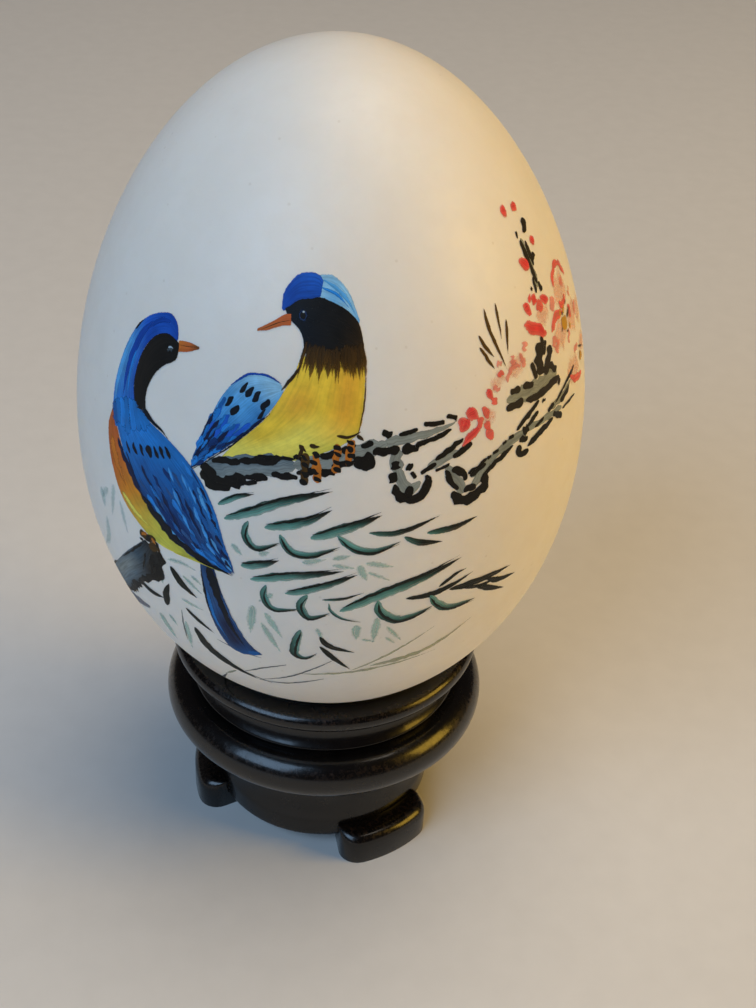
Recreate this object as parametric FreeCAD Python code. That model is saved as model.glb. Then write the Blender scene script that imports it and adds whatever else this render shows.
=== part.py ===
import FreeCAD, Part
import math
import os

# Painted goose egg on a turned, black-lacquered wooden stand.
# Frame: millimetres, +Z up, origin on the table under the middle of the stand.
# The painted side of the egg faces -Y.

# Egg
EGG_LENGTH = 80.6
EGG_GIRTH = 58.0            # widest diameter
EGG_TAPER = 0.086           # first-order taper, blunt end down
EGG_TAPER_2 = 0.011         # second-order taper
EGG_BASE_HEIGHT = 22.2      # underside of the egg above the table
SHELL_WALL = 0.6
MEMBRANE_WALL = 0.2
BLOW_HOLE = 4.0             # hole that the egg was emptied through
PROFILE_STEPS = 24

# Seat collar: rounded lip, dished seat and the deep cove below the lip
SEAT_CLEARANCE = 0.3
COLLAR_TOP = 28.0
LIP_RADIUS = 19.4
LIP_ROUND = 1.3
COLLAR_BORE = 11.5
COVE_RADIUS = 16.2          # narrowest radius of the cove
COVE_FOOT_RADIUS = 17.0

# Belt ring: the fat half-round moulding
BELT_RADIUS = 20.4
BELT_ROUND = 3.1
BELT_MIDDLE = 17.6

# Apron ring: hollow-sided plinth that the feet are glued to
APRON_BORE = 8.5
APRON_TOP_RADIUS = 15.2
APRON_WAIST_RADIUS = 13.5
APRON_FOOT_RADIUS = 14.1
APRON_BAND_TOP = 5.4
APRON_BOTTOM = 2.4

# Feet: blocks rebated under the apron's lower band
FOOT_COUNT = 3
FOOT_FIRST_ANGLE = 34.0     # degrees from -Y towards +X
FOOT_HALF_ANGLE = 24.5
FOOT_OUTER_RADIUS = 17.3
FOOT_INNER_RADIUS = 9.2
FOOT_HEIGHT = 4.4
FOOT_CORNER_ROUND = 1.2
FOOT_EDGE_ROUND = 0.35
TENON_RADIUS = 1.6
TENON_LENGTH = 3.0
TENON_PITCH_RADIUS = 11.3

FOOT_NAMES = ("foot_front", "foot_rear", "foot_left")
AXIS_Z = FreeCAD.Vector(0, 0, 1)
ORIGIN = FreeCAD.Vector(0, 0, 0)


def section_point(radius, height):
    """A point of a turned profile, in the XZ plane."""
    return FreeCAD.Vector(radius, 0, height)


def line(start, end):
    return Part.LineSegment(section_point(*start), section_point(*end)).toShape()


def arc(start, middle, end):
    return Part.Arc(section_point(*start), section_point(*middle), section_point(*end)).toShape()


def turned(edges):
    """Solid turned about the Z axis from the edges of a closed profile."""
    return Part.Solid(Part.Face(Part.Wire(edges)).revolve(ORIGIN, AXIS_Z, 360))


def egg_swell(angle):
    """Relative radius of the egg at an angle that runs from 0 at the base to pi at the tip."""
    taper = 1 + EGG_TAPER * math.cos(angle) + EGG_TAPER_2 * math.cos(angle) ** 2
    return math.sin(angle) * taper


def widest_swell():
    """Largest relative radius, found by fine stepping."""
    return max(egg_swell(math.pi * step / 2000) for step in range(2001))


def egg_point(angle, offset):
    """A point of the egg's profile, grown outwards by an offset."""
    radius = (EGG_GIRTH / 2 + offset) * egg_swell(angle) / widest_swell()
    height = -(EGG_LENGTH / 2 + offset) * math.cos(angle)
    return section_point(radius, height + EGG_BASE_HEIGHT + EGG_LENGTH / 2)


def egg_curve(offset, start_angle):
    """Smooth profile from a start angle up to the tip."""
    span = math.pi - start_angle
    angles = [start_angle + span * step / PROFILE_STEPS for step in range(PROFILE_STEPS + 1)]
    curve = Part.BSplineCurve()
    curve.interpolate(Points=[egg_point(angle, offset) for angle in angles])
    return curve.toShape()


def egg_form(offset):
    """The whole egg as one solid, grown outwards by an offset."""
    chord = Part.LineSegment(egg_point(math.pi, offset), egg_point(0, offset)).toShape()
    return turned([egg_curve(offset, 0), chord])


def egg_layer(outer, inner):
    """One skin of the egg between two offsets, open at the blow hole in its base."""
    hole_angle = math.asin(BLOW_HOLE / EGG_GIRTH)
    hole_wall = Part.LineSegment(egg_point(hole_angle, inner), egg_point(hole_angle, outer))
    tip_wall = Part.LineSegment(egg_point(math.pi, outer), egg_point(math.pi, inner))
    return turned([
        hole_wall.toShape(),
        egg_curve(outer, hole_angle),
        tip_wall.toShape(),
        egg_curve(inner, hole_angle),
    ])


def egg_shell():
    return egg_layer(0, -SHELL_WALL)


def shell_membrane():
    """The dried skin that lines a blown egg."""
    return egg_layer(-SHELL_WALL, -SHELL_WALL - MEMBRANE_WALL)


def seat_collar():
    lip_middle = LIP_RADIUS - LIP_ROUND
    lip_height = COLLAR_TOP - LIP_ROUND
    slant = LIP_ROUND * math.sqrt(0.5)
    lip_out = (lip_middle + slant, lip_height + slant)
    lip_under = (lip_middle + slant, lip_height - slant)
    base = BELT_MIDDLE + BELT_ROUND
    cove_middle = (COVE_RADIUS, (lip_under[1] + base) / 2)
    ring = turned([
        line((COLLAR_BORE, base), (COLLAR_BORE, COLLAR_TOP)),
        line((COLLAR_BORE, COLLAR_TOP), (lip_middle, COLLAR_TOP)),
        arc((lip_middle, COLLAR_TOP), lip_out, (LIP_RADIUS, lip_height)),
        arc((LIP_RADIUS, lip_height), lip_under, (lip_middle, lip_height - LIP_ROUND)),
        arc((lip_middle, lip_height - LIP_ROUND), cove_middle, (COVE_FOOT_RADIUS, base)),
        line((COVE_FOOT_RADIUS, base), (COLLAR_BORE, base)),
    ])
    return ring.cut(egg_form(SEAT_CLEARANCE))


def belt_ring():
    middle = BELT_RADIUS - BELT_ROUND
    top = BELT_MIDDLE + BELT_ROUND
    bottom = BELT_MIDDLE - BELT_ROUND
    return turned([
        line((COLLAR_BORE, bottom), (COLLAR_BORE, top)),
        line((COLLAR_BORE, top), (middle, top)),
        arc((middle, top), (BELT_RADIUS, BELT_MIDDLE), (middle, bottom)),
        line((middle, bottom), (COLLAR_BORE, bottom)),
    ])


def apron_ring():
    top = BELT_MIDDLE - BELT_ROUND
    waist = (APRON_WAIST_RADIUS, (top + APRON_BAND_TOP) / 2)
    ring = turned([
        line((APRON_BORE, APRON_BOTTOM), (APRON_BORE, top)),
        line((APRON_BORE, top), (APRON_TOP_RADIUS, top)),
        arc((APRON_TOP_RADIUS, top), waist, (APRON_FOOT_RADIUS, APRON_BAND_TOP)),
        line((APRON_FOOT_RADIUS, APRON_BAND_TOP), (APRON_FOOT_RADIUS, APRON_BOTTOM)),
        line((APRON_FOOT_RADIUS, APRON_BOTTOM), (APRON_BORE, APRON_BOTTOM)),
    ])
    for number in range(FOOT_COUNT):
        ring = ring.cut(placed_at_foot(tenon(), number))
    return ring


def tenon():
    """Round peg at the first foot place, before it is turned to its own foot."""
    foot = FreeCAD.Vector(0, -TENON_PITCH_RADIUS, APRON_BOTTOM)
    return Part.makeCylinder(TENON_RADIUS, TENON_LENGTH, foot, AXIS_Z)


def placed_at_foot(shape, number):
    """Turn a shape made at -Y round to the place of one foot."""
    turned_shape = shape.copy()
    angle = FOOT_FIRST_ANGLE + number * 360 / FOOT_COUNT
    turned_shape.rotate(ORIGIN, AXIS_Z, angle)
    return turned_shape


def sector_outline(inner, outer, half_angle):
    """Closed outline of a ring sector centred on -Y, on the table."""
    def at(radius, degrees):
        a = math.radians(degrees)
        return FreeCAD.Vector(radius * math.sin(a), -radius * math.cos(a), 0)

    corners = [at(inner, -half_angle), at(outer, -half_angle), at(outer, half_angle), at(inner, half_angle)]
    return Part.Wire([
        Part.LineSegment(corners[0], corners[1]).toShape(),
        Part.Arc(corners[1], at(outer, 0), corners[2]).toShape(),
        Part.LineSegment(corners[2], corners[3]).toShape(),
        Part.Arc(corners[3], at(inner, 0), corners[0]).toShape(),
    ])


def is_outer_corner(edge):
    """True for the two upright edges at the outer corners of a foot block."""
    upright = abs(edge.BoundBox.ZLength - FOOT_HEIGHT) < 0.01
    middle = edge.BoundBox.Center
    return upright and math.hypot(middle.x, middle.y) > FOOT_OUTER_RADIUS - 0.1


def is_outer_rim(edge):
    """True for the top and bottom edges that run round the front of a foot block."""
    box = edge.BoundBox
    level = box.ZLength < 0.01
    farthest = max(math.hypot(v.X, v.Y) for v in edge.Vertexes)
    return level and farthest > FOOT_OUTER_RADIUS - FOOT_CORNER_ROUND - 0.5


def foot(number):
    outline = sector_outline(FOOT_INNER_RADIUS, FOOT_OUTER_RADIUS, FOOT_HALF_ANGLE)
    block = Part.Face(outline).extrude(FreeCAD.Vector(0, 0, FOOT_HEIGHT))
    block = block.makeFillet(FOOT_CORNER_ROUND, [e for e in block.Edges if is_outer_corner(e)])
    block = block.makeFillet(FOOT_EDGE_ROUND, [e for e in block.Edges if is_outer_rim(e)])
    rebate_start = FreeCAD.Vector(0, 0, APRON_BOTTOM)
    rebate = Part.makeCylinder(APRON_FOOT_RADIUS, FOOT_HEIGHT, rebate_start, AXIS_Z)
    return placed_at_foot(block.cut(rebate).fuse(tenon()).removeSplitter(), number)


def build():
    nodes = {
        "egg_shell": egg_shell(),
        "shell_membrane": shell_membrane(),
        "seat_collar": seat_collar(),
        "belt_ring": belt_ring(),
        "apron_ring": apron_ring(),
    }
    for number, name in enumerate(FOOT_NAMES):
        nodes[name] = foot(number)
    return nodes


os.makedirs("parts", exist_ok=True)
for node_name, shape in build().items():
    solids = shape.Solids
    box = shape.BoundBox
    print(node_name, "solids", len(solids), "valid", shape.isValid(), "volume", round(shape.Volume, 1),
          "z", round(box.ZMin, 2), round(box.ZMax, 2), "x", round(box.XMin, 2), round(box.XMax, 2))
    solids[0].exportStep("parts/" + node_name + ".step")
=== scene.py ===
import math

import bpy
import numpy as np
from mathutils import Matrix, Vector


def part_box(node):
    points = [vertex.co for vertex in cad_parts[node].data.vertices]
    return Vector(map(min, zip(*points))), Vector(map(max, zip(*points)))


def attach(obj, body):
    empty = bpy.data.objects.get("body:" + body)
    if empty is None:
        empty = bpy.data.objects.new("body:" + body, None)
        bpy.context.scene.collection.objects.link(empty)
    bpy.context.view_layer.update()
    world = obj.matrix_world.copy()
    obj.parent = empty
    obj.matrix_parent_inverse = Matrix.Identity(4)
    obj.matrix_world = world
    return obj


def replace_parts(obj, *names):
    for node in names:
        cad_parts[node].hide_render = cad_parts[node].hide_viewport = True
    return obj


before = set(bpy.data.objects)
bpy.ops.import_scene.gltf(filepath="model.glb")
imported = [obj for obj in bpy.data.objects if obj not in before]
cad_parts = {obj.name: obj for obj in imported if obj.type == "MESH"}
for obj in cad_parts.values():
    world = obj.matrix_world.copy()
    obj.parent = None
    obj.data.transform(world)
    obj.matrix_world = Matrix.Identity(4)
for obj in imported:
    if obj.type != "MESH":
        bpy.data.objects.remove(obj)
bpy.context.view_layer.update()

# A blown goose egg, painted by brush with two birds on a blossoming plum branch, in a turned
# black-lacquered stand. Lengths below are in millimetres, places round the egg in degrees from
# the middle of the painted side, and places up the egg in millimetres along the shell from its
# widest ring. MM turns millimetres into Blender's metres.
MM = 0.001

# ---------------------------------------------------------------- sizes taken from the frame
SHELL_LOW, SHELL_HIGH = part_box("egg_shell")
EGG_BASE = SHELL_LOW.z / MM
EGG_TIP = SHELL_HIGH.z / MM
EGG_GIRTH = (SHELL_HIGH.x - SHELL_LOW.x) / MM
EGG_TAPER = 0.086
EGG_TAPER_2 = 0.011
SHELL_WALL = 0.6
BLOW_HOLE_RADIUS = 2.0
# The frame's shell is open at the blow hole, so its lowest point lies just above the base.
HOLE_RISE = (EGG_TIP - EGG_BASE) * (1 - math.cos(math.asin(2 * BLOW_HOLE_RADIUS / EGG_GIRTH))) / 2
EGG_LENGTH = EGG_TIP - EGG_BASE + HOLE_RISE
EGG_MIDDLE = EGG_TIP - EGG_LENGTH / 2

FILM_LIFT = 0.020       # top of the first coat of paint above the shell
COAT_STEP = 0.006       # each later coat lies this much higher
FILM_DEPTH = 0.12       # full thickness of a paint film, most of it sunk in the shell
ROW_STEP = 0.35         # between the rows of points along a stroke
COLUMN_STEP = 0.30      # between the points across it
PATCH_STEP = 0.45       # between points either way in a filled patch
SHAKE_STEP = 0.45       # between the wobbles of a stroke's sides
THIN_COVER = 0.8        # cover where a film is too narrow to have soft edges
MM_PER_DEGREE = 0.5     # round the egg's widest ring, near enough to space points evenly
CURVE_STEPS = 12        # between two given points of a curve


# ---------------------------------------------------------------- small helpers
def linear(hex_colour, alpha=1.0):
    """Linear RGBA from an sRGB hex colour."""
    channels = [int(hex_colour[i:i + 2], 16) / 255 for i in (1, 3, 5)]
    curve = [c / 12.92 if c <= 0.04045 else ((c + 0.055) / 1.055) ** 2.4 for c in channels]
    return (*curve, alpha)


def add_node(tree, kind, settings=None, links=None):
    """One node with its settings (attributes or input values) and its links (input to socket)."""
    node = tree.nodes.new(kind)
    for key, value in (settings or {}).items():
        if isinstance(key, str) and hasattr(node, key):
            setattr(node, key, value)
        else:
            node.inputs[key].default_value = value
    for key, socket in (links or {}).items():
        tree.links.new(socket, node.inputs[key])
    return node


def new_material(name):
    """An empty node material with its output node; returns the material, tree and output."""
    material = bpy.data.materials.new(name)
    material.use_nodes = True
    tree = material.node_tree
    tree.nodes.clear()
    return material, tree, tree.nodes.new("ShaderNodeOutputMaterial")


def object_noise(tree, size_mm, detail=3.0, roughness=0.5, stretch=(1, 1, 1)):
    """Noise in the object's own space with features about size_mm across."""
    place = add_node(tree, "ShaderNodeTexCoord")
    scaled = add_node(tree, "ShaderNodeMapping", {"Scale": stretch}, {"Vector": place.outputs["Object"]})
    settings = {"Scale": 1 / (size_mm * MM), "Detail": detail, "Roughness": roughness}
    return add_node(tree, "ShaderNodeTexNoise", settings, {"Vector": scaled.outputs[0]})


def remap(tree, socket, low, high, to_low, to_high):
    """A value moved from one range to another and held inside it."""
    settings = {"From Min": low, "From Max": high, "To Min": to_low, "To Max": to_high}
    return add_node(tree, "ShaderNodeMapRange", settings, {"Value": socket}).outputs["Result"]


def feed(tree, node, key, value):
    """Sets one input to a number or a colour, or links a socket to it."""
    if isinstance(value, (float, tuple)):
        node.inputs[key].default_value = value
    else:
        tree.links.new(value, node.inputs[key])


def tint_mix(tree, factor, first, second):
    """Mix of two colours by a socket; each colour is a socket or a linear colour."""
    node = add_node(tree, "ShaderNodeMix", {"data_type": "RGBA"})
    factor_input, first_input, second_input, colour_output = 0, 6, 7, 2
    feed(tree, node, first_input, first)
    feed(tree, node, second_input, second)
    feed(tree, node, factor_input, factor)
    return node.outputs[colour_output]


def times(tree, first, second):
    """Product of a socket with a socket or a number."""
    node = add_node(tree, "ShaderNodeMath", {"operation": "MULTIPLY"}, {0: first})
    feed(tree, node, 1, second)
    return node.outputs[0]


def deselect_all():
    """Back to object mode with nothing selected."""
    if bpy.context.mode != "OBJECT":
        bpy.ops.object.mode_set(mode="OBJECT")
    bpy.ops.object.select_all(action="DESELECT")


def select_only(piece):
    """Makes one piece the only one selected, and active."""
    deselect_all()
    piece.select_set(True)
    bpy.context.view_layer.objects.active = piece


def apply_modifier(piece, kind, **settings):
    """Adds a modifier with its settings and applies it."""
    select_only(piece)
    modifier = piece.modifiers.new(kind.title(), kind)
    for key, value in settings.items():
        setattr(modifier, key, value)
    bpy.ops.object.modifier_apply(modifier=modifier.name)


def finish_piece(piece, name, material, body, smooth_angle=None):
    """Names a finished piece, gives it its material and puts it on its body."""
    piece.name = name
    piece.data.name = name
    piece.data.materials.clear()
    piece.data.materials.append(material)
    select_only(piece)
    if smooth_angle is None:
        bpy.ops.object.shade_smooth()
    else:
        bpy.ops.object.shade_smooth_by_angle(angle=math.radians(smooth_angle))
    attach(piece, body)
    return piece


# ---------------------------------------------------------------- the egg's form
def profile_tables():
    """Angle, radius, height, length along the shell and outward normal down the egg's profile."""
    angle = np.linspace(0, math.pi, 4001)
    swell = np.sin(angle) * (1 + EGG_TAPER * np.cos(angle) + EGG_TAPER_2 * np.cos(angle) ** 2)
    radius = EGG_GIRTH / 2 * swell / swell.max()
    height = -EGG_LENGTH / 2 * np.cos(angle)
    step = np.hypot(np.diff(radius), np.diff(height))
    along = np.concatenate([[0], np.cumsum(step)])
    along -= along[radius.argmax()]
    normal_r = np.gradient(height, angle)
    normal_z = -np.gradient(radius, angle)
    size = np.hypot(normal_r, normal_z)
    return angle, radius, height, along, normal_r / size, normal_z / size


ANGLE, RADIUS, HEIGHT, ALONG, NORMAL_R, NORMAL_Z = profile_tables()
SIGHT_ANGLE = np.arctan2(RADIUS, -HEIGHT)


def shell_point(degrees, up, lift=0.0):
    """Points on the shell, in millimetres from the egg's middle, raised along its normal."""
    turn = np.radians(degrees)
    radius = np.interp(up, ALONG, RADIUS) + lift * np.interp(up, ALONG, NORMAL_R)
    height = np.interp(up, ALONG, HEIGHT) + lift * np.interp(up, ALONG, NORMAL_Z)
    return np.stack([radius * np.sin(turn), -radius * np.cos(turn), height], -1)


def shell_normal(degrees, up):
    """The shell's outward direction at places on it."""
    turn = np.radians(degrees)
    across = np.interp(up, ALONG, NORMAL_R)
    return np.stack([across * np.sin(turn), -across * np.cos(turn), np.interp(up, ALONG, NORMAL_Z)], -1)


def shell_place(points):
    """Degrees round and millimetres up the shell below points that lie near it."""
    degrees = np.degrees(np.arctan2(points[..., 0], -points[..., 1]))
    sight = np.arctan2(np.hypot(points[..., 0], points[..., 1]), -points[..., 2])
    return degrees, np.interp(sight, SIGHT_ANGLE, ALONG)


# ---------------------------------------------------------------- brush work on the shell
def smooth_run(points, count):
    """Evenly spaced points on a smooth curve through the given ones."""
    points = np.array(points, float)
    if len(points) == 2:
        share = np.linspace(0, 1, count)[:, None]
        return points[0] * (1 - share) + points[1] * share
    padded = np.vstack([2 * points[0] - points[1], points, 2 * points[-1] - points[-2]])
    fine = []
    for i in range(len(points) - 1):
        p0, p1, p2, p3 = padded[i:i + 4]
        for t in np.linspace(0, 1, CURVE_STEPS, endpoint=False):
            fine.append(0.5 * (2 * p1 + (p2 - p0) * t + (2 * p0 - 5 * p1 + 4 * p2 - p3) * t ** 2
                               + (3 * p1 - p0 - 3 * p2 + p3) * t ** 3))
    fine.append(points[-1])
    fine = np.array(fine)
    reach = np.concatenate([[0], np.cumsum(np.hypot(*(np.diff(fine, axis=0) * (MM_PER_DEGREE, 1)).T))])
    even = np.linspace(0, reach[-1], count)
    return np.stack([np.interp(even, reach, fine[:, k]) for k in (0, 1)], -1)


def run_length(points):
    """Length in millimetres of a run of (degrees, up) points on the shell."""
    placed = shell_point(*np.array(smooth_run(points, 30)).T)
    return float(np.linalg.norm(np.diff(placed, axis=0), axis=1).sum())


def brush_width(form, share):
    """Relative width of a stroke along its length, for each way of laying the brush down."""
    if form == "leaf":          # pressed early, drawn out to a long point
        return (share ** 0.5) * (1 - share) ** 0.85 / 0.413
    if form == "dash":          # blunt at both ends
        return (1 - np.abs(2 * share - 1) ** 5) ** 0.5
    if form == "drop":          # an oval touch of the tip
        return np.sqrt(np.clip(1 - (2 * share - 1) ** 2, 0, 1))
    if form == "tail":          # blunt start, drawn out to nothing
        return np.minimum(1, (share / 0.08) ** 0.5) * (1 - share) ** 0.6
    return 0.45 + 0.55 * np.sin(math.pi * share)    # "line": a thin even line


def end_and_edge_steps(count, soft_share):
    """Shares from 0 to 1 with a narrow first and last step, where the paint's edge fades."""
    soft = min(0.45, soft_share)
    return np.concatenate([[0], np.linspace(soft, 1 - soft, count - 1), [1]])


class PaintLayer:
    """Collects the strokes of one painted piece and makes one mesh of them."""

    def __init__(self, name, seed):
        self.name = name
        self.films = []
        self.random = np.random.default_rng(seed)

    def add_film(self, places, tints, coat, soft_rows, size_mm):
        """A film from a grid of (degrees, up) places and a grid of tints, along by across."""
        self.films.append((places, tints, coat, soft_rows, size_mm))

    def stroke(self, form, width, tint, points, coat=0, ragged=0.06, soft=0.10):
        """One brush stroke. tint is a name, a tuple of names from its left side to its right, or
        a list of such tuples from its start to its end."""
        length = run_length(points)
        rows = int(min(90, max(16, length / ROW_STEP)))
        share = end_and_edge_steps(rows, soft / length)
        if form == "drop":
            share = (1 - np.cos(math.pi * share)) / 2
        spine = smooth_run(points, 200)
        spine = np.stack([np.interp(share, np.linspace(0, 1, 200), spine[:, k]) for k in (0, 1)], -1)
        centre = shell_point(spine[:, 0], spine[:, 1])
        heading = np.gradient(centre, axis=0)
        sideways = np.cross(shell_normal(spine[:, 0], spine[:, 1]), heading)
        sideways /= np.linalg.norm(sideways, axis=1)[:, None] + 1e-9
        half = np.maximum(0.03, width / 2 * brush_width(form, share))
        columns = max(5, int(width / COLUMN_STEP) + 3)
        shake = self.shaking(rows + 1, ragged, length)
        places = np.zeros((rows + 1, columns + 1, 2))
        for row in range(rows + 1):
            steps = end_and_edge_steps(columns, soft / (2 * half[row]))
            left = half[row] * (1 + shake[0][row])
            right = half[row] * (1 + shake[1][row])
            offset = -right + (left + right) * steps
            near = centre[row] + sideways[row] * offset[:, None]
            places[row] = np.stack(shell_place(near), -1)
        bands = [(tint, tint)] if isinstance(tint, str) else [tint] if isinstance(tint, tuple) else tint
        bands = bands * 2 if len(bands) == 1 else bands
        grid = tint_grid([band[::-1] for band in bands], rows + 1, columns + 1)
        self.add_film(places, grid, coat, half < soft, (length, width))

    def shaking(self, count, ragged, length):
        """Uneven width of the two sides of a stroke, as a share of the width."""
        knots = max(4, int(length / SHAKE_STEP))
        place = np.linspace(0, knots - 1.001, count)
        before = place.astype(int)
        ease = (place - before) ** 2 * (3 - 2 * (place - before))
        sides = []
        for _ in range(2):
            rough = self.random.uniform(-1, 1, knots) * ragged * 2
            sides.append(rough[before] * (1 - ease) + rough[before + 1] * ease)
        return sides

    def patch(self, left_edge, right_edge, tints, coat=0, soft=0.14, soft_ends=0.14):
        """Paint filled in between two edges that run the same way. tints holds rows along the
        patch, each from its left edge to its right edge."""
        length = max(run_length(left_edge), run_length(right_edge))
        rows = int(min(110, max(10, length / PATCH_STEP)))
        share = end_and_edge_steps(rows, soft_ends / length)
        sides = []
        for edge in (right_edge, left_edge):
            run = smooth_run(edge, 240)
            placed = np.stack([np.interp(share, np.linspace(0, 1, 240), run[:, k]) for k in (0, 1)], -1)
            sides.append(shell_point(placed[:, 0], placed[:, 1]))
        gaps = np.linalg.norm(sides[1] - sides[0], axis=1)
        columns = int(min(60, max(5, gaps.max() / PATCH_STEP)))
        places = np.zeros((rows + 1, columns + 1, 2))
        for row in range(rows + 1):
            steps = end_and_edge_steps(columns, soft / max(gaps[row], soft))
            near = sides[0][row] * (1 - steps[:, None]) + sides[1][row] * steps[:, None]
            places[row] = np.stack(shell_place(near), -1)
        grid = tint_grid([list(reversed(row)) for row in tints], rows + 1, columns + 1)
        self.add_film(places, grid, coat, gaps < 2 * soft, (length, float(gaps.max())))

    def make(self, material):
        """Lays every film on the shell, joins them and gives them thickness."""
        parts = [self.film_mesh(*film) for film in self.films]
        deselect_all()
        for part in parts:
            part.select_set(True)
        bpy.context.view_layer.objects.active = parts[0]
        if len(parts) > 1:
            bpy.ops.object.join()
        piece = bpy.context.view_layer.objects.active
        apply_modifier(piece, "SOLIDIFY", thickness=FILM_DEPTH * MM, offset=-1.0)
        return finish_piece(piece, self.name, material, "egg", smooth_angle=40)

    def film_mesh(self, places, tints, coat, thin_rows, size_mm):
        """One film as a grid primitive whose points are set down on the shell."""
        rows, columns = places.shape[0] - 1, places.shape[1] - 1
        deselect_all()
        bpy.ops.mesh.primitive_grid_add(x_subdivisions=rows, y_subdivisions=columns, size=2)
        part = bpy.context.view_layer.objects.active
        mesh = part.data
        flat = np.zeros(len(mesh.vertices) * 3)
        mesh.vertices.foreach_get("co", flat)
        flat = flat.reshape(-1, 3)
        row = np.rint((flat[:, 0] + 1) / 2 * rows).astype(int)
        column = np.rint((flat[:, 1] + 1) / 2 * columns).astype(int)
        lifted = shell_point(places[..., 0], places[..., 1], FILM_LIFT + COAT_STEP * coat)
        if outward_share(lifted, places) < 0:
            lifted, tints = lifted[:, ::-1], tints[:, ::-1]
        placed = (lifted[row, column] + (0, 0, EGG_MIDDLE)) * MM
        mesh.vertices.foreach_set("co", placed.astype(np.float32).ravel())
        inner = (row > 0) & (row < rows) & (column > 0) & (column < columns)
        cover = inner.astype(np.float32)
        thin = thin_rows[row]
        cover[inner & thin] = THIN_COVER
        attribute = mesh.attributes.new("cover", "FLOAT", "POINT")
        attribute.data.foreach_set("value", cover)
        paint = mesh.attributes.new("paint", "FLOAT_COLOR", "POINT")
        paint.data.foreach_set("color", tints[row, column].astype(np.float32).ravel())
        corner = np.zeros(len(mesh.loops), int)
        mesh.loops.foreach_get("vertex_index", corner)
        start = self.random.uniform(0, 50, 2)
        run = np.stack([row / rows * size_mm[0] + start[0], column / columns * size_mm[1] + start[1]], -1)
        mesh.uv_layers.active.data.foreach_set("uv", run[corner].astype(np.float32).ravel())
        return part


def between(left_edge, right_edge, along, across):
    """The place a share of the way along a patch and a share across it, left to right."""
    sides = [smooth_run(edge, 60) for edge in (left_edge, right_edge)]
    left, right = [np.array([np.interp(along, np.linspace(0, 1, 60), side[:, k]) for k in (0,
        1)]) for side in sides]
    return left * (1 - across) + right * across


def outward_share(lifted, places):
    """Positive when a film's grid faces out of the shell."""
    r, c = lifted.shape[0] // 2, lifted.shape[1] // 2
    along = lifted[r + 1, c] - lifted[r - 1, c]
    across = lifted[r, c + 1] - lifted[r, c - 1]
    return float(np.dot(np.cross(along, across), shell_normal(places[r, c, 0], places[r, c, 1])))


def tint_grid(rows_of_names, rows, columns):
    """Linear colours with cover as alpha, blended over a grid of named tints."""
    known = np.array([[linear(*TINTS[name]) for name in row] for row in rows_of_names])
    u = np.linspace(0, known.shape[0] - 1, rows)
    v = np.linspace(0, known.shape[1] - 1, columns)
    u0 = np.minimum(u.astype(int), known.shape[0] - 2)
    v0 = np.minimum(v.astype(int), known.shape[1] - 2)
    fu = (u - u0)[:, None, None]
    fv = (v - v0)[None, :, None]
    top = known[u0][:, v0] * (1 - fv) + known[u0][:, v0 + 1] * fv
    bottom = known[u0 + 1][:, v0] * (1 - fv) + known[u0 + 1][:, v0 + 1] * fv
    return top * (1 - fu) + bottom * fu


# ---------------------------------------------------------------- materials
# Pigments as they dry on the shell: sRGB colour and how much of it covers.
TINTS = {"ink": ("#12110f", 1.0), "blue_ink": ("#0b141f", 1.0), "brown_ink": ("#33240f", 0.95),
         "thin_ink": ("#2c2a20", 0.75), "navy": ("#101f42", 1.0), "night_blue": ("#0a2a66", 1.0),
         "deep_blue": ("#0b44a0", 1.0), "royal_blue": ("#1a5cc2", 1.0), "sky_blue": ("#2384d6", 1.0),
         "light_blue": ("#55a4dd", 1.0), "wing_blue": ("#155fa4", 1.0), "wing_dark": ("#08336a", 1.0),
         "azure": ("#1c74bd", 1.0), "pale_blue": ("#93c8e6", 0.95), "slate_blue": ("#2a5486", 1.0),
         "orange": ("#c4602a", 1.0), "marigold": ("#d67a26", 1.0), "ochre": ("#dd9526", 1.0),
         "amber": ("#efb233", 0.9), "yellow": ("#efc93c", 1.0), "lemon": ("#f1e060", 1.0),
         "olive_yellow": ("#c8c44c", 1.0), "khaki": ("#aea93c", 1.0), "beak_brown": ("#b4602c", 1.0),
         "umber": ("#4c340f", 0.95), "umber_wash": ("#6d4c16", 0.55), "brown_black": ("#241f1b", 1.0),
         "grey_wash": ("#88918d", 0.92), "cold_grey": ("#5f7480", 0.94), "dark_grey": ("#38505e", 0.95),
         "warm_grey": ("#90958a", 0.9), "eye_grey": ("#9fb0ba", 0.95), "iris_blue": ("#1e3358", 1.0),
         "red": ("#d8383e", 0.96), "coral": ("#e65f56", 0.85), "pink": ("#ea857a", 0.62),
         "faint_pink": ("#eeb09a", 0.45), "gold": ("#c6951a", 0.95), "leaf_green": ("#35695f", 0.92),
         "teal": ("#5c9f93", 0.80), "pale_teal": ("#9cc4b6", 0.55), "clear_teal": ("#6fa8a0", 0.30),
         "faint_teal": ("#9cc4c0", 0.38), "leaf_ink": ("#141a14", 1.0), "olive_wash": ("#9aa27a", 0.55),
         "stem_grey": ("#4a5459", 0.75), "violet_grey": ("#5a6072", 0.70), "leg_orange": ("#bd6f24", 1.0)}


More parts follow.
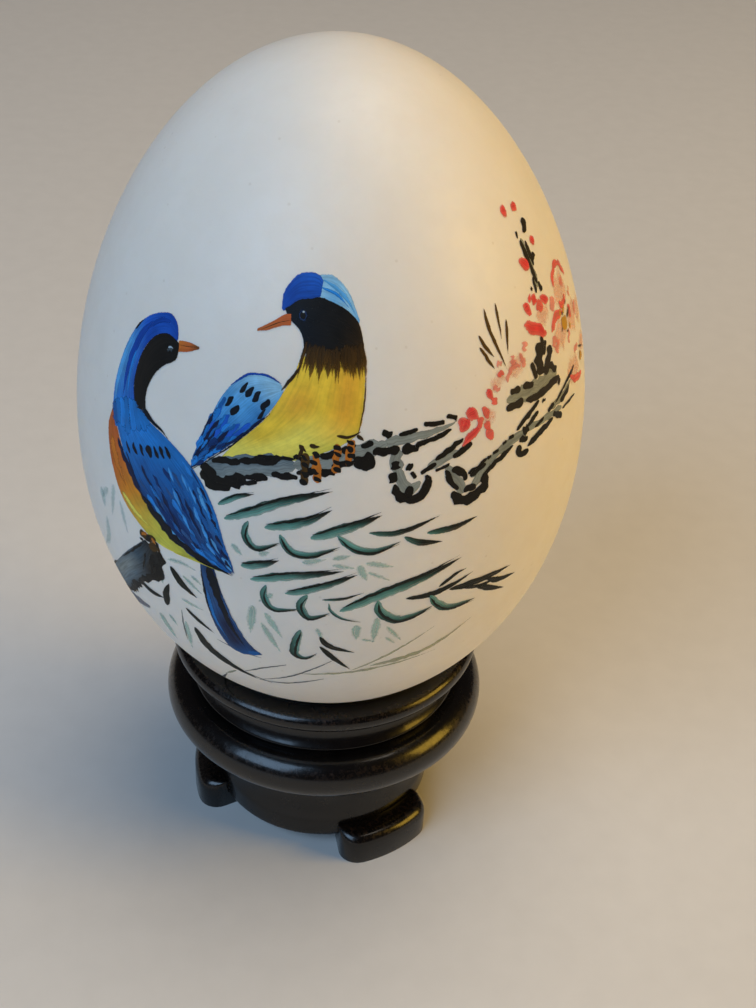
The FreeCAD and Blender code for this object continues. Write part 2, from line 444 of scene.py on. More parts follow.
def brush_paint(name, streak_mm, streak_depth, dryness, roughness, gloss, fade=0.5):
    """Water-based paint laid by a soft brush. The bristles leave fine streaks that run with the
    stroke, pigment pools unevenly, and the film breaks up a little where the brush ran dry."""
    material, tree, output = new_material(name)
    paint = add_node(tree, "ShaderNodeAttribute", {"attribute_name": "paint"})
    cover = add_node(tree, "ShaderNodeAttribute", {"attribute_name": "cover"})
    run = add_node(tree, "ShaderNodeUVMap", {"uv_map": "UVMap"})
    bristles = add_node(tree, "ShaderNodeMapping", {"Scale": (0.22, 1 / streak_mm, 1)},
                        {"Vector": run.outputs[0]})
    streak = add_node(tree, "ShaderNodeTexNoise", {"Scale": 1.0, "Detail": 2.0},
                      {"Vector": bristles.outputs[0]})
    pools = object_noise(tree, 1.6, 4.0, 0.6)
    grain = object_noise(tree, 0.28, 2.0, 0.6)

    dark = remap(tree, streak.outputs["Fac"], 0.35, 0.65, 1 - streak_depth, 1 + streak_depth / 2)
    pooled = remap(tree, pools.outputs["Fac"], 0.35, 0.65, 0.88, 1.10)
    shade = times(tree, dark, pooled)
    colour = add_node(tree, "ShaderNodeVectorMath", {"operation": "SCALE"},
                      {0: paint.outputs["Color"], "Scale": shade})

    ragged = remap(tree, grain.outputs["Fac"], 0.3, 0.7, -0.28, 0.22)
    edge = add_node(tree, "ShaderNodeMath", {"operation": "ADD"}, {0: cover.outputs["Fac"], 1: ragged})
    edge_cover = remap(tree, edge.outputs[0], 0.5 - fade / 2, 0.5 + fade / 2, 0.0, 1.0)
    dry = remap(tree, streak.outputs["Fac"], 0.30, 0.52, 1.0 - dryness, 1.0)
    covering = times(tree, times(tree, edge_cover, paint.outputs["Alpha"]), dry)

    relief = add_node(tree, "ShaderNodeBump", {"Strength": 0.35, "Distance": 0.00004},
                      {"Height": streak.outputs["Fac"]})
    sheen = remap(tree, pools.outputs["Fac"], 0.3, 0.7, roughness - 0.07, roughness + 0.09)
    surface = add_node(tree, "ShaderNodeBsdfPrincipled", {"IOR": 1.48, "Specular IOR Level": gloss},
                       {"Base Color": colour.outputs[0], "Roughness": sheen, "Alpha": covering,
                        "Normal": relief.outputs[0]})
    tree.links.new(surface.outputs[0], output.inputs["Surface"])
    return material


def eggshell():
    """Goose eggshell, washed and dry: warm white, satin, finely pored, with faint mottling and a
    scatter of pale specks. Light goes a little way into it."""
    material, tree, output = new_material("goose_eggshell")
    mottle = object_noise(tree, 9.0, 3.0, 0.55)
    cloud = object_noise(tree, 2.2, 3.0, 0.6)
    pores = object_noise(tree, 0.42, 3.0, 0.65)
    place = add_node(tree, "ShaderNodeTexCoord")
    specks = add_node(tree, "ShaderNodeTexVoronoi", {"Scale": 1 / (2.6 * MM)},
                      {"Vector": place.outputs["Object"]})
    warm = tint_mix(tree, remap(tree, mottle.outputs["Fac"], 0.35, 0.65, 0.0, 1.0),
                    linear("#ebe5db"), linear("#e8e1d6"))
    clouded = tint_mix(tree, remap(tree, cloud.outputs["Fac"], 0.4, 0.7, 0.0, 0.14), warm,
                       linear("#dcd3c6"))
    speck = remap(tree, specks.outputs["Distance"], 0.035, 0.075, 0.22, 0.0)
    colour = tint_mix(tree, speck, clouded, linear("#b9a98f"))
    relief = add_node(tree, "ShaderNodeBump", {"Strength": 0.22, "Distance": 0.00006},
                      {"Height": pores.outputs["Fac"]})
    wave = add_node(tree, "ShaderNodeBump", {"Strength": 0.25, "Distance": 0.00025},
                    {"Height": mottle.outputs["Fac"], "Normal": relief.outputs[0]})
    satin = remap(tree, cloud.outputs["Fac"], 0.35, 0.65, 0.40, 0.52)
    surface = add_node(tree, "ShaderNodeBsdfPrincipled", {
        "IOR": 1.50, "Subsurface Weight": 0.20, "Subsurface Radius": (1.0, 0.7, 0.45),
        "Subsurface Scale": 0.0012, "Specular IOR Level": 0.42}, {
        "Base Color": colour, "Roughness": satin, "Normal": wave.outputs[0]})
    tree.links.new(surface.outputs[0], output.inputs["Surface"])
    return material


def dried_membrane():
    """The egg's inner skin, dried to a matt, slightly wrinkled cream paper."""
    material, tree, output = new_material("dried_egg_membrane")
    fibre = object_noise(tree, 0.8, 4.0, 0.7)
    colour = tint_mix(tree, fibre.outputs["Fac"], linear("#e9dcc2"), linear("#d8c6a4"))
    relief = add_node(tree, "ShaderNodeBump", {"Strength": 0.4, "Distance": 0.0001},
                      {"Height": fibre.outputs["Fac"]})
    surface = add_node(tree, "ShaderNodeBsdfPrincipled", {"Roughness": 0.8}, {
        "Base Color": colour, "Normal": relief.outputs[0]})
    tree.links.new(surface.outputs[0], output.inputs["Surface"])
    return material


def black_lacquer():
    """Turned hardwood under thick black lacquer: deep gloss with a faint orange-peel and a trace of
    the grain, thin and brown where the crests have been rubbed."""
    material, tree, output = new_material("black_lacquered_wood")
    wear_and_glint = add_node(tree, "ShaderNodeAttribute", {"attribute_name": "wear_and_glint"})
    grain = object_noise(tree, 1.1, 4.0, 0.6, (1.0, 0.16, 1.0))
    patch = object_noise(tree, 2.6, 4.0, 0.65)
    peel = object_noise(tree, 1.3, 2.0, 0.5)
    chip = object_noise(tree, 0.55, 3.0, 0.6)
    lacquer = tint_mix(tree, remap(tree, patch.outputs["Fac"], 0.35, 0.70, 0.0, 1.0),
                       linear("#050404"), linear("#090707"))
    wood = tint_mix(tree, grain.outputs["Fac"], linear("#1d120b"), linear("#3d2818"))
    # Lighter brown wood shows where the rings' crests are rubbed. On the feet the same mark also paints
    # their lit tops lighter, with painted highlights at both ends.
    wear_and_glint_share = times(tree, remap(tree, chip.outputs["Fac"], 0.48, 0.72, 0.0, 0.8), wear_and_glint.outputs["Fac"])
    colour = tint_mix(tree, wear_and_glint_share, lacquer, wood)
    gloss = add_node(tree, "ShaderNodeMath", {"operation": "ADD"},
                     {0: remap(tree, patch.outputs["Fac"], 0.3, 0.7, 0.20, 0.30),
                      1: times(tree, wear_and_glint_share, 0.35)}).outputs[0]
    relief = add_node(tree, "ShaderNodeBump", {"Strength": 0.30, "Distance": 0.00008},
                      {"Height": peel.outputs["Fac"]})
    pores = add_node(tree, "ShaderNodeBump", {"Strength": 0.12, "Distance": 0.00004},
                     {"Height": grain.outputs["Fac"], "Normal": relief.outputs[0]})
    surface = add_node(tree, "ShaderNodeBsdfPrincipled", {
        "IOR": 1.50, "Specular IOR Level": 0.36, "Coat Weight": 0.3, "Coat Roughness": 0.10}, {
        "Base Color": colour, "Roughness": gloss, "Normal": pores.outputs[0]})
    tree.links.new(surface.outputs[0], output.inputs["Surface"])
    return material


def pale_backdrop():
    """Matt pale studio board."""
    material, tree, output = new_material("pale_studio_board")
    fleck = object_noise(tree, 4.0, 3.0, 0.5)
    colour = tint_mix(tree, fleck.outputs["Fac"], linear("#dcd9d4"), linear("#d4d1cc"))
    surface = add_node(tree, "ShaderNodeBsdfPrincipled", {"Roughness": 0.75}, {"Base Color": colour})
    tree.links.new(surface.outputs[0], output.inputs["Surface"])
    return material


# ---------------------------------------------------------------- the egg and its stand
def edit_all(piece):
    """Opens a piece in edit mode with everything selected."""
    select_only(piece)
    bpy.ops.object.mode_set(mode="EDIT")
    bpy.ops.mesh.select_all(action="SELECT")


def close_edit():
    """Leaves edit mode."""
    bpy.ops.object.mode_set(mode="OBJECT")


def make_shell(material):
    """The egg: a sphere pulled to the egg's profile, opened at the blow hole and given its wall."""
    deselect_all()
    bpy.ops.mesh.primitive_uv_sphere_add(segments=192, ring_count=128, radius=1)
    piece = bpy.context.view_layer.objects.active
    for vertex in piece.data.vertices:
        angle = math.acos(max(-1.0, min(1.0, -vertex.co.z)))
        turn = math.atan2(vertex.co.y, vertex.co.x)
        radius = float(np.interp(angle, ANGLE, RADIUS))
        height = float(np.interp(angle, ANGLE, HEIGHT)) + EGG_MIDDLE
        vertex.co = Vector((radius * math.cos(turn), radius * math.sin(turn), height)) * MM
    edit_all(piece)
    bpy.ops.mesh.select_all(action="DESELECT")
    close_edit()
    for vertex in piece.data.vertices:
        near_axis = math.hypot(vertex.co.x, vertex.co.y) < BLOW_HOLE_RADIUS * MM
        vertex.select = near_axis and vertex.co.z < EGG_MIDDLE * MM
    bpy.ops.object.mode_set(mode="EDIT")
    bpy.ops.mesh.delete(type="VERT")
    close_edit()
    apply_modifier(piece, "SOLIDIFY", thickness=SHELL_WALL * MM, offset=-1.0)
    finish_piece(piece, "painted_egg_shell", material, "egg")
    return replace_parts(piece, "egg_shell")


def turned_piece(name, profile, material, worn_radius, worn_height, node, spin_steps=120):
    """A ring turned on the lathe: its profile drawn as a closed run of points, spun about Z."""
    deselect_all()
    bpy.ops.mesh.primitive_plane_add(size=1)
    piece = bpy.context.view_layer.objects.active
    edit_all(piece)
    bpy.ops.mesh.merge(type="CENTER")
    bpy.ops.transform.translate(value=(profile[0][0] * MM, 0, profile[0][1] * MM))
    for before, after in zip(profile, profile[1:]):
        step = ((after[0] - before[0]) * MM, 0, (after[1] - before[1]) * MM)
        bpy.ops.mesh.extrude_region_move(TRANSFORM_OT_translate={"value": step})
    bpy.ops.mesh.select_all(action="SELECT")
    bpy.ops.mesh.edge_face_add()
    bpy.ops.mesh.delete(type="ONLY_FACE")
    bpy.ops.mesh.select_all(action="SELECT")
    bpy.ops.mesh.spin(steps=spin_steps, angle=2 * math.pi, center=(0, 0, 0), axis=(0, 0, 1))
    bpy.ops.mesh.select_all(action="SELECT")
    bpy.ops.mesh.remove_doubles(threshold=0.00002)
    bpy.ops.mesh.normals_make_consistent(inside=False)
    close_edit()
    apply_modifier(piece, "SUBSURF", levels=2, render_levels=2)
    mark_wear(piece, worn_radius, worn_height)
    finish_piece(piece, name, material, "stand")
    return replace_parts(piece, node)


def mark_wear(piece, worn_radius, worn_height, reach=0.9):
    """How rubbed each point is: full on a ring's proud crest, falling off over reach."""
    wear_and_glint = piece.data.attributes.new("wear_and_glint", "FLOAT", "POINT")
    for vertex, value in zip(piece.data.vertices, wear_and_glint.data):
        out = math.hypot(vertex.co.x, vertex.co.y) / MM - worn_radius
        up = vertex.co.z / MM - worn_height
        value.value = max(0.0, 1 - math.hypot(out, up) / reach)


def round_run(centre, radius, start, end, steps):
    """Profile points round an arc, angles in degrees from +X towards +Z."""
    turns = [math.radians(start + (end - start) * i / steps) for i in range(steps + 1)]
    return [(centre[0] + radius * math.cos(t), centre[1] + radius * math.sin(t)) for t in turns]


RING_BORE = 11.5            # hole through the collar and the belt ring
APRON_BORE = 8.5
FOOT_FIRST_ANGLE = 34.0     # from the middle of the painted side towards +X
FOOT_HALF_ANGLE = 24.5
FOOT_INNER, FOOT_OUTER, FOOT_HEIGHT = 9.2, 17.3, 4.4
FOOT_CORNER = 2.7           # how far the outer corners are carved back
FOOT_ROUND = 1.5            # rounding of the outer upper edge
APRON_FOOT_RADIUS, APRON_BOTTOM = 14.15, 2.4


def turn_collar(material):
    """The top ring: a dished seat, a rounded lip and a deep cove under it."""
    collar_low, collar_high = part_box("seat_collar")
    top = collar_high.z / MM
    lip = collar_high.x / MM
    lip_round = 1.3
    lip_centre = (lip - lip_round, top - lip_round)
    base = collar_low.z / MM
    seat_edge = 16.5
    collar = [(RING_BORE, base), (RING_BORE, base + 1.2), (RING_BORE, base + 4.6), (13.4, base + 5.2),
              (15.3, top - 1.0)]
    collar += [(seat_edge, top - 0.12), (seat_edge + 0.5, top)]
    collar += round_run(lip_centre, lip_round, 80, -70, 5)
    collar += [(17.0, top - 2.75), (16.3, top - 3.9), (16.15, top - 5.0), (16.6, top - 6.2)]
    collar += [(17.25, base + 0.35), (17.3, base)]
    turned_piece("turned_seat_collar", collar + [collar[0]], material, lip - 0.4, top - 0.5,
                 "seat_collar")


def turn_belt(material):
    """The fat half-round moulding."""
    belt_low, belt_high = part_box("belt_ring")
    belt_radius = belt_high.x / MM
    belt_round = (belt_high.z - belt_low.z) / 2 / MM
    belt_middle = (belt_high.z + belt_low.z) / 2 / MM
    belt = [(RING_BORE, belt_low.z / MM), (RING_BORE, belt_middle), (RING_BORE, belt_high.z / MM)]
    belt += [(15.0, belt_high.z / MM)]
    belt += round_run((belt_radius - belt_round, belt_middle), belt_round * 1.02, 84, -84, 8)
    belt += [(15.0, belt_low.z / MM)]
    turned_piece("turned_belt_ring", belt + [belt[0]], material, belt_radius - 0.6, belt_middle + 1.8,
                 "belt_ring")


def turn_apron(material):
    """The hollow-sided plinth that the feet are glued to."""
    apron_low, apron_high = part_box("apron_ring")
    bottom = apron_low.z / MM
    ring_top = apron_high.z / MM
    apron = [(APRON_BORE, bottom), (APRON_BORE, bottom + 0.4), (APRON_BORE, ring_top - 0.4)]
    apron += [(APRON_BORE, ring_top), (APRON_BORE + 0.5, ring_top)]
    apron += [(15.1, ring_top), (15.3, ring_top - 0.15), (14.7, ring_top - 1.6), (13.85, ring_top - 3.6)]
    apron += [(13.5, ring_top - 5.6), (13.65, bottom + 4.2), (14.05, bottom + 3.0), (14.15, bottom + 2.6)]
    apron += [(14.15, bottom + 0.5), (14.05, bottom + 0.08), (13.6, bottom), (APRON_BORE + 0.5, bottom)]
    turned_piece("turned_apron_ring", apron + [apron[0]], material, 14.1, bottom + 0.2, "apron_ring")


def make_stand(material):
    """Three turned rings and three feet, each in the place of its node."""
    turn_collar(material)
    turn_belt(material)
    turn_apron(material)
    for number, node in enumerate(("foot_front", "foot_rear", "foot_left")):
        make_foot(node, FOOT_FIRST_ANGLE + 120 * number, material)


def foot_section(side):
    """The foot's upper outline from the middle outwards, (radius, height), at a share of its half
    width, side: under the apron, up its face, out over the top and down the rounded edge."""
    turned_in = max(0.0, (side - 0.6) / 0.4)
    outer = FOOT_OUTER - FOOT_CORNER * (1 - math.sqrt(1 - turned_in ** 2))
    rounding = min(FOOT_ROUND, (outer - APRON_FOOT_RADIUS) * 0.8)
    section = [(FOOT_INNER, APRON_BOTTOM), (11.7, APRON_BOTTOM), (APRON_FOOT_RADIUS, APRON_BOTTOM),
               (APRON_FOOT_RADIUS + 0.02, FOOT_HEIGHT),
               ((APRON_FOOT_RADIUS + outer - rounding) / 2, FOOT_HEIGHT)]
    for turn in (0, 18, 36, 54, 72, 90):
        t = math.radians(turn)
        section.append((outer - rounding + rounding * math.sin(t),
                        FOOT_HEIGHT - rounding * (1 - math.cos(t))))
    return section


def mark_foot_wear_and_glints(piece, degrees):
    """Wear and painted light on a foot: its top rubbed and painted lighter where light falls on it, most
    at its two ends as painted highlights, and not at all below it.
    """
    glint_degrees, worn_depth = 5, 1.0
    wear_and_glint = piece.data.attributes.new("wear_and_glint", "FLOAT", "POINT")
    for vertex, value in zip(piece.data.vertices, wear_and_glint.data):
        out = math.hypot(vertex.co.x, vertex.co.y) / MM
        turn = math.degrees(math.atan2(vertex.co.x, -vertex.co.y)) - degrees
        side = abs((turn + 180) % 360 - 180)
        # Near both ends of the top the value rises further: painted highlights where the foot's corners
        # catch the light.
        end_glint = max(0.0, 1 - (FOOT_HALF_ANGLE - side) / glint_degrees)
        on_top = vertex.co.z / MM > FOOT_HEIGHT - worn_depth and out > APRON_FOOT_RADIUS + 0.1
        value.value = (0.65 + 0.35 * end_glint) if on_top else 0.0


def make_foot(node, degrees, material):
    """A block foot: a ring sector, stepped under the apron, its outer corners and edge carved round."""
    deselect_all()
    across, along = 24, 10
    bpy.ops.mesh.primitive_grid_add(x_subdivisions=across, y_subdivisions=along, size=2)
    piece = bpy.context.view_layer.objects.active
    for vertex in piece.data.vertices:
        spread = math.sin(vertex.co.x * math.pi / 2)
        radius, height = foot_section(abs(spread))[round((vertex.co.y + 1) / 2 * along)]
        turn = math.radians(degrees + spread * FOOT_HALF_ANGLE)
        vertex.co = Vector((radius * math.sin(turn), -radius * math.cos(turn), height)) * MM
    edit_all(piece)
    bpy.ops.mesh.extrude_region_move(TRANSFORM_OT_translate={"value": (0, 0, -0.0001)})
    close_edit()
    for vertex in piece.data.vertices:
        if vertex.select:
            vertex.co.z = 0
    edit_all(piece)
    bpy.ops.mesh.normals_make_consistent(inside=False)
    close_edit()
    apply_modifier(piece, "BEVEL", width=0.0003, segments=3, limit_method="ANGLE",
                   angle_limit=math.radians(50))
    mark_foot_wear_and_glints(piece, degrees)
    finish_piece(piece, "block_" + node, material, "stand", smooth_angle=50)
    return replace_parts(piece, node)


# ---------------------------------------------------------------- the painting: the left bird
# Places are (degrees round the egg, millimetres up the shell). Left and right are seen from
# outside, going along the stroke.
LEFT_FACE_OUTER = [(-36.6, 21.0), (-40, 21.4), (-43, 20.9), (-45.6, 19.5), (-47.2, 17.5), (-47.6, 15.0),
                   (-46.6, 13.0), (-45, 12.2), (-42.5, 11.8)]
LEFT_FACE_INNER = [(-36.3, 20.6), (-36.3, 19.3), (-37.5, 18.7), (-39.5, 18.0), (-41.5, 16.8),
                   (-42.8, 15.2), (-43, 13.8), (-42.3, 12.6), (-40.8, 11.8)]
LEFT_CAP_OUTER = [(-37, 21.3), (-37.6, 22.3), (-39, 23.1), (-41, 23.4), (-44, 23.0), (-47, 22.2),
                  (-50, 20.8), (-52, 18.8), (-53.3, 16.5), (-54, 14.0), (-54, 12.0), (-53.4, 10.2),
                  (-52.0, 8.6)]
LEFT_CAP_INNER = [(-37.2, 20.9), (-40, 21.2), (-43, 20.7), (-45.4, 19.4), (-46.9, 17.5), (-47.3, 15.0),
                  (-46.3, 13.1), (-44.5, 11.8), (-42.5, 10.4)]
WING_BACK = [(-45, 12.3), (-41, 11.7), (-37, 11.1), (-33, 10.2), (-30, 9.2), (-27, 7.8), (-25, 6.3),
             (-23.2, 4.4), (-22, 2.4), (-21, 0.4), (-19.8, -1.2), (-19, -3.0)]
WING_FRONT = [(-53.6, 10.6), (-51, 8.6), (-48.5, 6.6), (-45, 4.2), (-42, 2.7), (-39, 1.3), (-36, 0.0),
              (-33, -1.0), (-30, -1.8), (-27.5, -2.2), (-24, -2.5), (-20, -3.1)]
BELLY_OUTER = [(-53.8, 10.2), (-54.8, 8.6), (-54.5, 7.0), (-53.5, 5.0), (-52, 3.2), (-50, 1.4),
               (-47.5, 0.0), (-44, -1.2), (-40, -2.2), (-36, -2.6), (-32, -2.5), (-28.5, -2.2)]
TAIL_LEFT = [(-27.3, -2.0), (-27.2, -5), (-26.6, -8), (-25.8, -11), (-24.5, -13.5), (-22.5, -15.4),
             (-19.5, -16.1)]
TAIL_RIGHT = [(-24.0, -2.2), (-22.8, -5), (-21.5, -8), (-20, -10.5), (-18.3, -12.7), (-16.3, -14.3),
              (-14.4, -15.3)]


def cover_with_feathers(layer, back, front, rows, lanes, reach, width, tints):
    """Short overlapping dabs down a wing, lane beside lane, each a little longer than its step."""
    start, stop = reach
    step = (stop - start) / rows
    for row in range(rows):
        for lane in range(lanes):
            along = start + step * (row + 0.5 * (lane % 2)) + layer.random.uniform(-0.3, 0.3) * step
            across = (lane + 0.5) / lanes + layer.random.uniform(-0.06, 0.06)
            tint = tints[layer.random.integers(len(tints))]
            from_place = between(back, front, along, across)
            to_place = between(back, front, min(0.985, along + 1.7 * step), across * 0.97 + 0.015)
            layer.stroke("leaf", width * layer.random.uniform(0.6, 1.1), tint,
                [tuple(from_place), tuple(to_place)], 4 + (row + lane) % 2, 0.3)


def left_bird_front(paints):
    """Its belly, orange at the throat and yellow below."""
    belly = PaintLayer("left_bird_belly", 11)
    belly.patch(WING_FRONT, BELLY_OUTER, [["orange", "orange"], ["orange", "beak_brown"],
        ["marigold", "orange"], ["ochre", "marigold"], ["olive_yellow", "amber"],
        ["olive_yellow", "olive_yellow"], ["khaki", "lemon"], ["khaki", "olive_yellow"]], 1)
    belly.stroke("leaf", 1.5, "marigold", [(-53.4, 7.6), (-50.5, 4.6), (-47, 2.4)], 2, 0.1, 0.5)
    belly.stroke("leaf", 1.1, "lemon", [(-49, 1.6), (-45, 0.2), (-40, -0.8)], 2, 0.1, 0.4)
    belly.make(paints["yellow"])


def left_bird_head(paints):
    """Blue nape, black face, eye and beak, looking back over its shoulder."""
    cap = PaintLayer("left_bird_nape", 12)
    cap.patch(LEFT_CAP_INNER, LEFT_CAP_OUTER, [
        ["deep_blue", "deep_blue"], ["royal_blue", "deep_blue"], ["deep_blue", "royal_blue"],
        ["royal_blue", "light_blue"], ["deep_blue", "light_blue"], ["royal_blue", "sky_blue"],
        ["azure", "azure"]], 2)
    cap.stroke("leaf", 0.7, "light_blue", [(-50.8, 19.2), (-52.4, 16.4), (-53.1, 13.2), (-52.8, 10.8)], 3)
    cap.stroke("leaf", 0.9, "deep_blue", [(-45.6, 21.8), (-48.4, 19.6), (-50.2, 16.2), (-50.4, 12.6)], 3)
    cap.stroke("leaf", 0.6, "deep_blue", [(-40, 22.6), (-43.5, 22.2), (-47, 20.6)], 3)
    cap.stroke("leaf", 0.5, "sky_blue", [(-48.6, 18.2), (-49.3, 15.4), (-48.9, 12.6)], 4)
    cap.stroke("leaf", 0.4, "blue_ink", [(-50.6, 19.9), (-49.6, 20.8), (-48.2, 21.5)], 5, 0.2)
    cap.make(paints["blue"])

    face = PaintLayer("left_bird_face", 13)
    face.patch(LEFT_FACE_INNER, LEFT_FACE_OUTER, [["ink", "ink"], ["ink", "brown_black"], ["ink", "ink"]],
               4)
    face.stroke("tail", 0.75, "blue_ink", [(-43.4, 12.7), (-40.5, 11.9), (-37.5, 11.4), (-35.5, 10.8)], 5)
    face.make(paints["ink"])
    eye = PaintLayer("left_bird_eye", 14)
    eye.stroke("drop", 0.5, "stem_grey", [(-39.5, 19.75), (-37.9, 20.05)], 5, 0.1, 0.1)
    eye.stroke("leaf", 0.26, "eye_grey", [(-39.3, 20.05), (-38.6, 20.2), (-37.8, 20.15)], 6, 0.1, 0.05)
    eye.stroke("drop", 0.28, "ink", [(-38.9, 19.7), (-38.3, 19.8)], 7, 0.02, 0.05)
    eye.make(paints["ink"])
    beak = PaintLayer("left_bird_beak", 15)
    beak.patch([(-36.9, 21.2), (-34, 21.45), (-31, 21.35)],
               [(-36.4, 20.0), (-33.5, 20.45), (-30.8, 21.1)],
               [["marigold", "beak_brown"], ["beak_brown", "orange"], ["umber", "umber"]], 3, 0.08)
    beak.stroke("line", 0.12, "umber", [(-36.7, 20.75), (-34, 20.95), (-31.5, 21.2)], 4, 0.05, 0.05)
    beak.make(paints["ochre"])


def left_bird_wing(paints):
    """The folded wing: a blue ground, dabs over it, then dark and light feathers."""
    wing = PaintLayer("left_bird_wing", 16)
    wing.patch(WING_BACK, WING_FRONT, [["azure", "azure", "sky_blue", "azure"],
        ["azure", "sky_blue", "sky_blue", "azure"], ["azure", "azure", "wing_blue", "azure"],
        ["azure", "wing_blue", "wing_blue", "wing_dark"],
        ["azure", "wing_blue", "wing_dark", "wing_dark"], ["azure", "slate_blue", "wing_dark", "navy"],
        ["wing_blue", "wing_dark", "wing_blue", "navy"],
        ["wing_blue", "slate_blue", "wing_dark", "navy"]], 3, 0.14, 0.9)
    shoulder = (((-52.2, 12.2), (-50.4, 9.2), "azure"), ((-50.8, 12.6), (-49.0, 9.0), "sky_blue"),
                ((-49.4, 13.0), (-47.2, 8.6), "azure"), ((-48.0, 13.2), (-45.2, 9.4), "sky_blue"),
                ((-46.8, 13.2), (-43.6, 9.8), "azure"), ((-53.0, 11.6), (-51.6, 8.9), "wing_blue"),
                ((-45.8, 12.6), (-41.6, 10.2), "azure"), ((-45.0, 12.3), (-40.6, 11.2), "azure"))
    for start, end, tint in shoulder:
        wing.stroke("dash", 1.5, tint, [start, end], 4, 0.08, 0.5)
    cover_with_feathers(wing, WING_BACK, WING_FRONT, 9, 6, (0.34, 0.9), 0.62, ["azure", "wing_blue",
        "slate_blue", "wing_dark", "light_blue", "wing_dark", "sky_blue", "wing_blue"])
    wing.make(paints["blue"])

    feathers = PaintLayer("left_bird_feathers", 17)
    for degrees, up, width in ((-46.9, 7.5, 0.5), (-44.6, 7.9, 0.6), (-42.6, 8.2, 0.6),
            (-40.4, 8.5, 0.85), (-38.5, 8.8, 0.6), (-37.0, 9.1, 0.75), (-35.4, 9.4, 0.55)):
        feathers.stroke("drop", width, "blue_ink",
                        [(degrees - 0.8, up + 0.5), (degrees + 0.8, up - 0.65)], 6, 0.3)
    feathers.stroke("leaf", 1.1, "navy", [(-50.6, 7.7), (-47.5, 5.7), (-44, 3.7), (-40, 1.9)], 6, 0.3)
    feathers.stroke("leaf", 1.2, "blue_ink", [(-42.5, 2.9), (-37, 0.7), (-32.5, -0.8), (-26, -2.0)], 6,
                    0.3)
    feathers.stroke("leaf", 0.9, "blue_ink", [(-33, -0.8), (-28, -1.9), (-23, -2.6), (-19.6, -3.1)], 7,
                    0.3)
    dark_strokes = [(0.5, (-42.5, 6.4), (-38, 3.8)), (0.5, (-40.3, 5.3), (-34.5, 1.3)),
                    (0.6, (-36.8, 4.6), (-30.5, 0.0)), (0.45, (-34, 6.6), (-29, 2.4)),
                    (0.5, (-30.6, 5.0), (-26, 0.4)), (0.45, (-28.8, 6.4), (-24.8, 2.6)),
                    (0.4, (-45.5, 5.0), (-42, 3.2)), (0.4, (-26.6, 3.2), (-22.4, -1.6)),
                    (0.4, (-30.5, 0.6), (-25, -1.6)), (0.35, (-25.2, 5.2), (-22.6, 1.4)),
                    (0.3, (-24.5, 0.2), (-20.4, -2.6)), (0.4, (-47.5, 6.8), (-44.5, 4.8))]
    for width, start, end in dark_strokes:
        feathers.stroke("leaf", width, ("wing_dark", "blue_ink"), [start, end], 5, 0.35)
    for start, end in (((-31.5, 7.6), (-29.6, 5.8)), ((-29.6, 6.6), (-27.6, 4.6)),
                       ((-33.4, 5.4), (-31.0, 3.2)), ((-28.4, 4.4), (-26.4, 2.2)),
                       ((-26.6, 2.6), (-24.8, 0.6)), ((-31.0, 3.0), (-28.8, 0.8)),
                       ((-25.4, 0.4), (-23.2, -1.0)), ((-35.0, 7.8), (-33.2, 6.2)),
                       ((-27.6, 6.9), (-26.4, 5.6))):
        feathers.stroke("leaf", 0.5, ("sky_blue", "light_blue"), [start, end], 6, 0.25)
    for degrees, up in ((-26.4, 6.5), (-24.9, 5.0), (-23.7, 3.2), (-22.7, 1.4), (-21.6, -0.2),
                        (-20.7, -1.5)):
        feathers.stroke("leaf", 0.45, "navy", [(degrees - 0.6, up + 0.4), (degrees + 1.2, up - 1.0)], 6,
                        0.3)
    feathers.make(paints["ink"])


def left_bird_tail(paints):
    """The long tail, hanging clear of the stump."""
    tail = PaintLayer("left_bird_tail", 18)
    tail.patch(TAIL_RIGHT, TAIL_LEFT, [["night_blue", "navy", "slate_blue"],
        ["navy", "slate_blue", "slate_blue"], ["navy", "slate_blue", "slate_blue"],
        ["wing_dark", "navy", "slate_blue"], ["slate_blue", "navy", "slate_blue"],
        ["wing_dark", "wing_blue", "slate_blue"]], 3)
    tail.stroke("tail", 1.25, "blue_ink", [(-25.2, -2.6), (-23.6, -6.4), (-21.5, -10.8), (-18.6, -14.4)],
                4, 0.15)
    tail.stroke("leaf", 0.5, "azure", [(-26.2, -6), (-25, -10.5), (-22.6, -14)], 5, 0.2)
    tail.stroke("leaf", 0.4, "slate_blue", [(-22.6, -6.2), (-20.6, -10), (-17.6, -13.6)], 5, 0.2)
    tail.stroke("leaf", 0.4, "blue_ink", [(-27, -3.2), (-26.4, -8), (-25.2, -12)], 5, 0.2)
    tail.stroke("leaf", 0.9, "wing_blue", [(-18.2, -15.4), (-16.6, -15.2), (-15.2, -14.8)], 5, 0.1)
    tail.make(paints["blue"])


# ---------------------------------------------------------------- the painting: the right bird
CROWN_UPPER = [(-12.6, 26.8), (-12.6, 28.3), (-11.3, 29.4), (-9.2, 30.3), (-6, 30.6), (-3.9, 30.4),
               (-2.7, 29.8)]
CROWN_LOWER = [(-12, 26.5), (-10.7, 26.9), (-8.5, 27.7), (-5.5, 27.9), (-3.3, 28.2)]
NAPE_UPPER = [(-4.4, 30.35), (-1, 30.45), (1.4, 29.9), (3.8, 28.7), (5, 27.5), (6.2, 26.1)]
NAPE_LOWER = [(-3.6, 28.0), (-0.5, 27.7), (2.6, 27.1), (5.1, 26.2), (6, 25.7)]
RIGHT_FACE_BACK = [(-12, 26.9), (-10.7, 27.2), (-8.5, 27.9), (-5.5, 28.1), (-3.3, 28.3), (-0.5, 27.9),
                   (2.6, 27.3), (5.1, 26.4), (6.3, 25.5), (7, 23.8)]
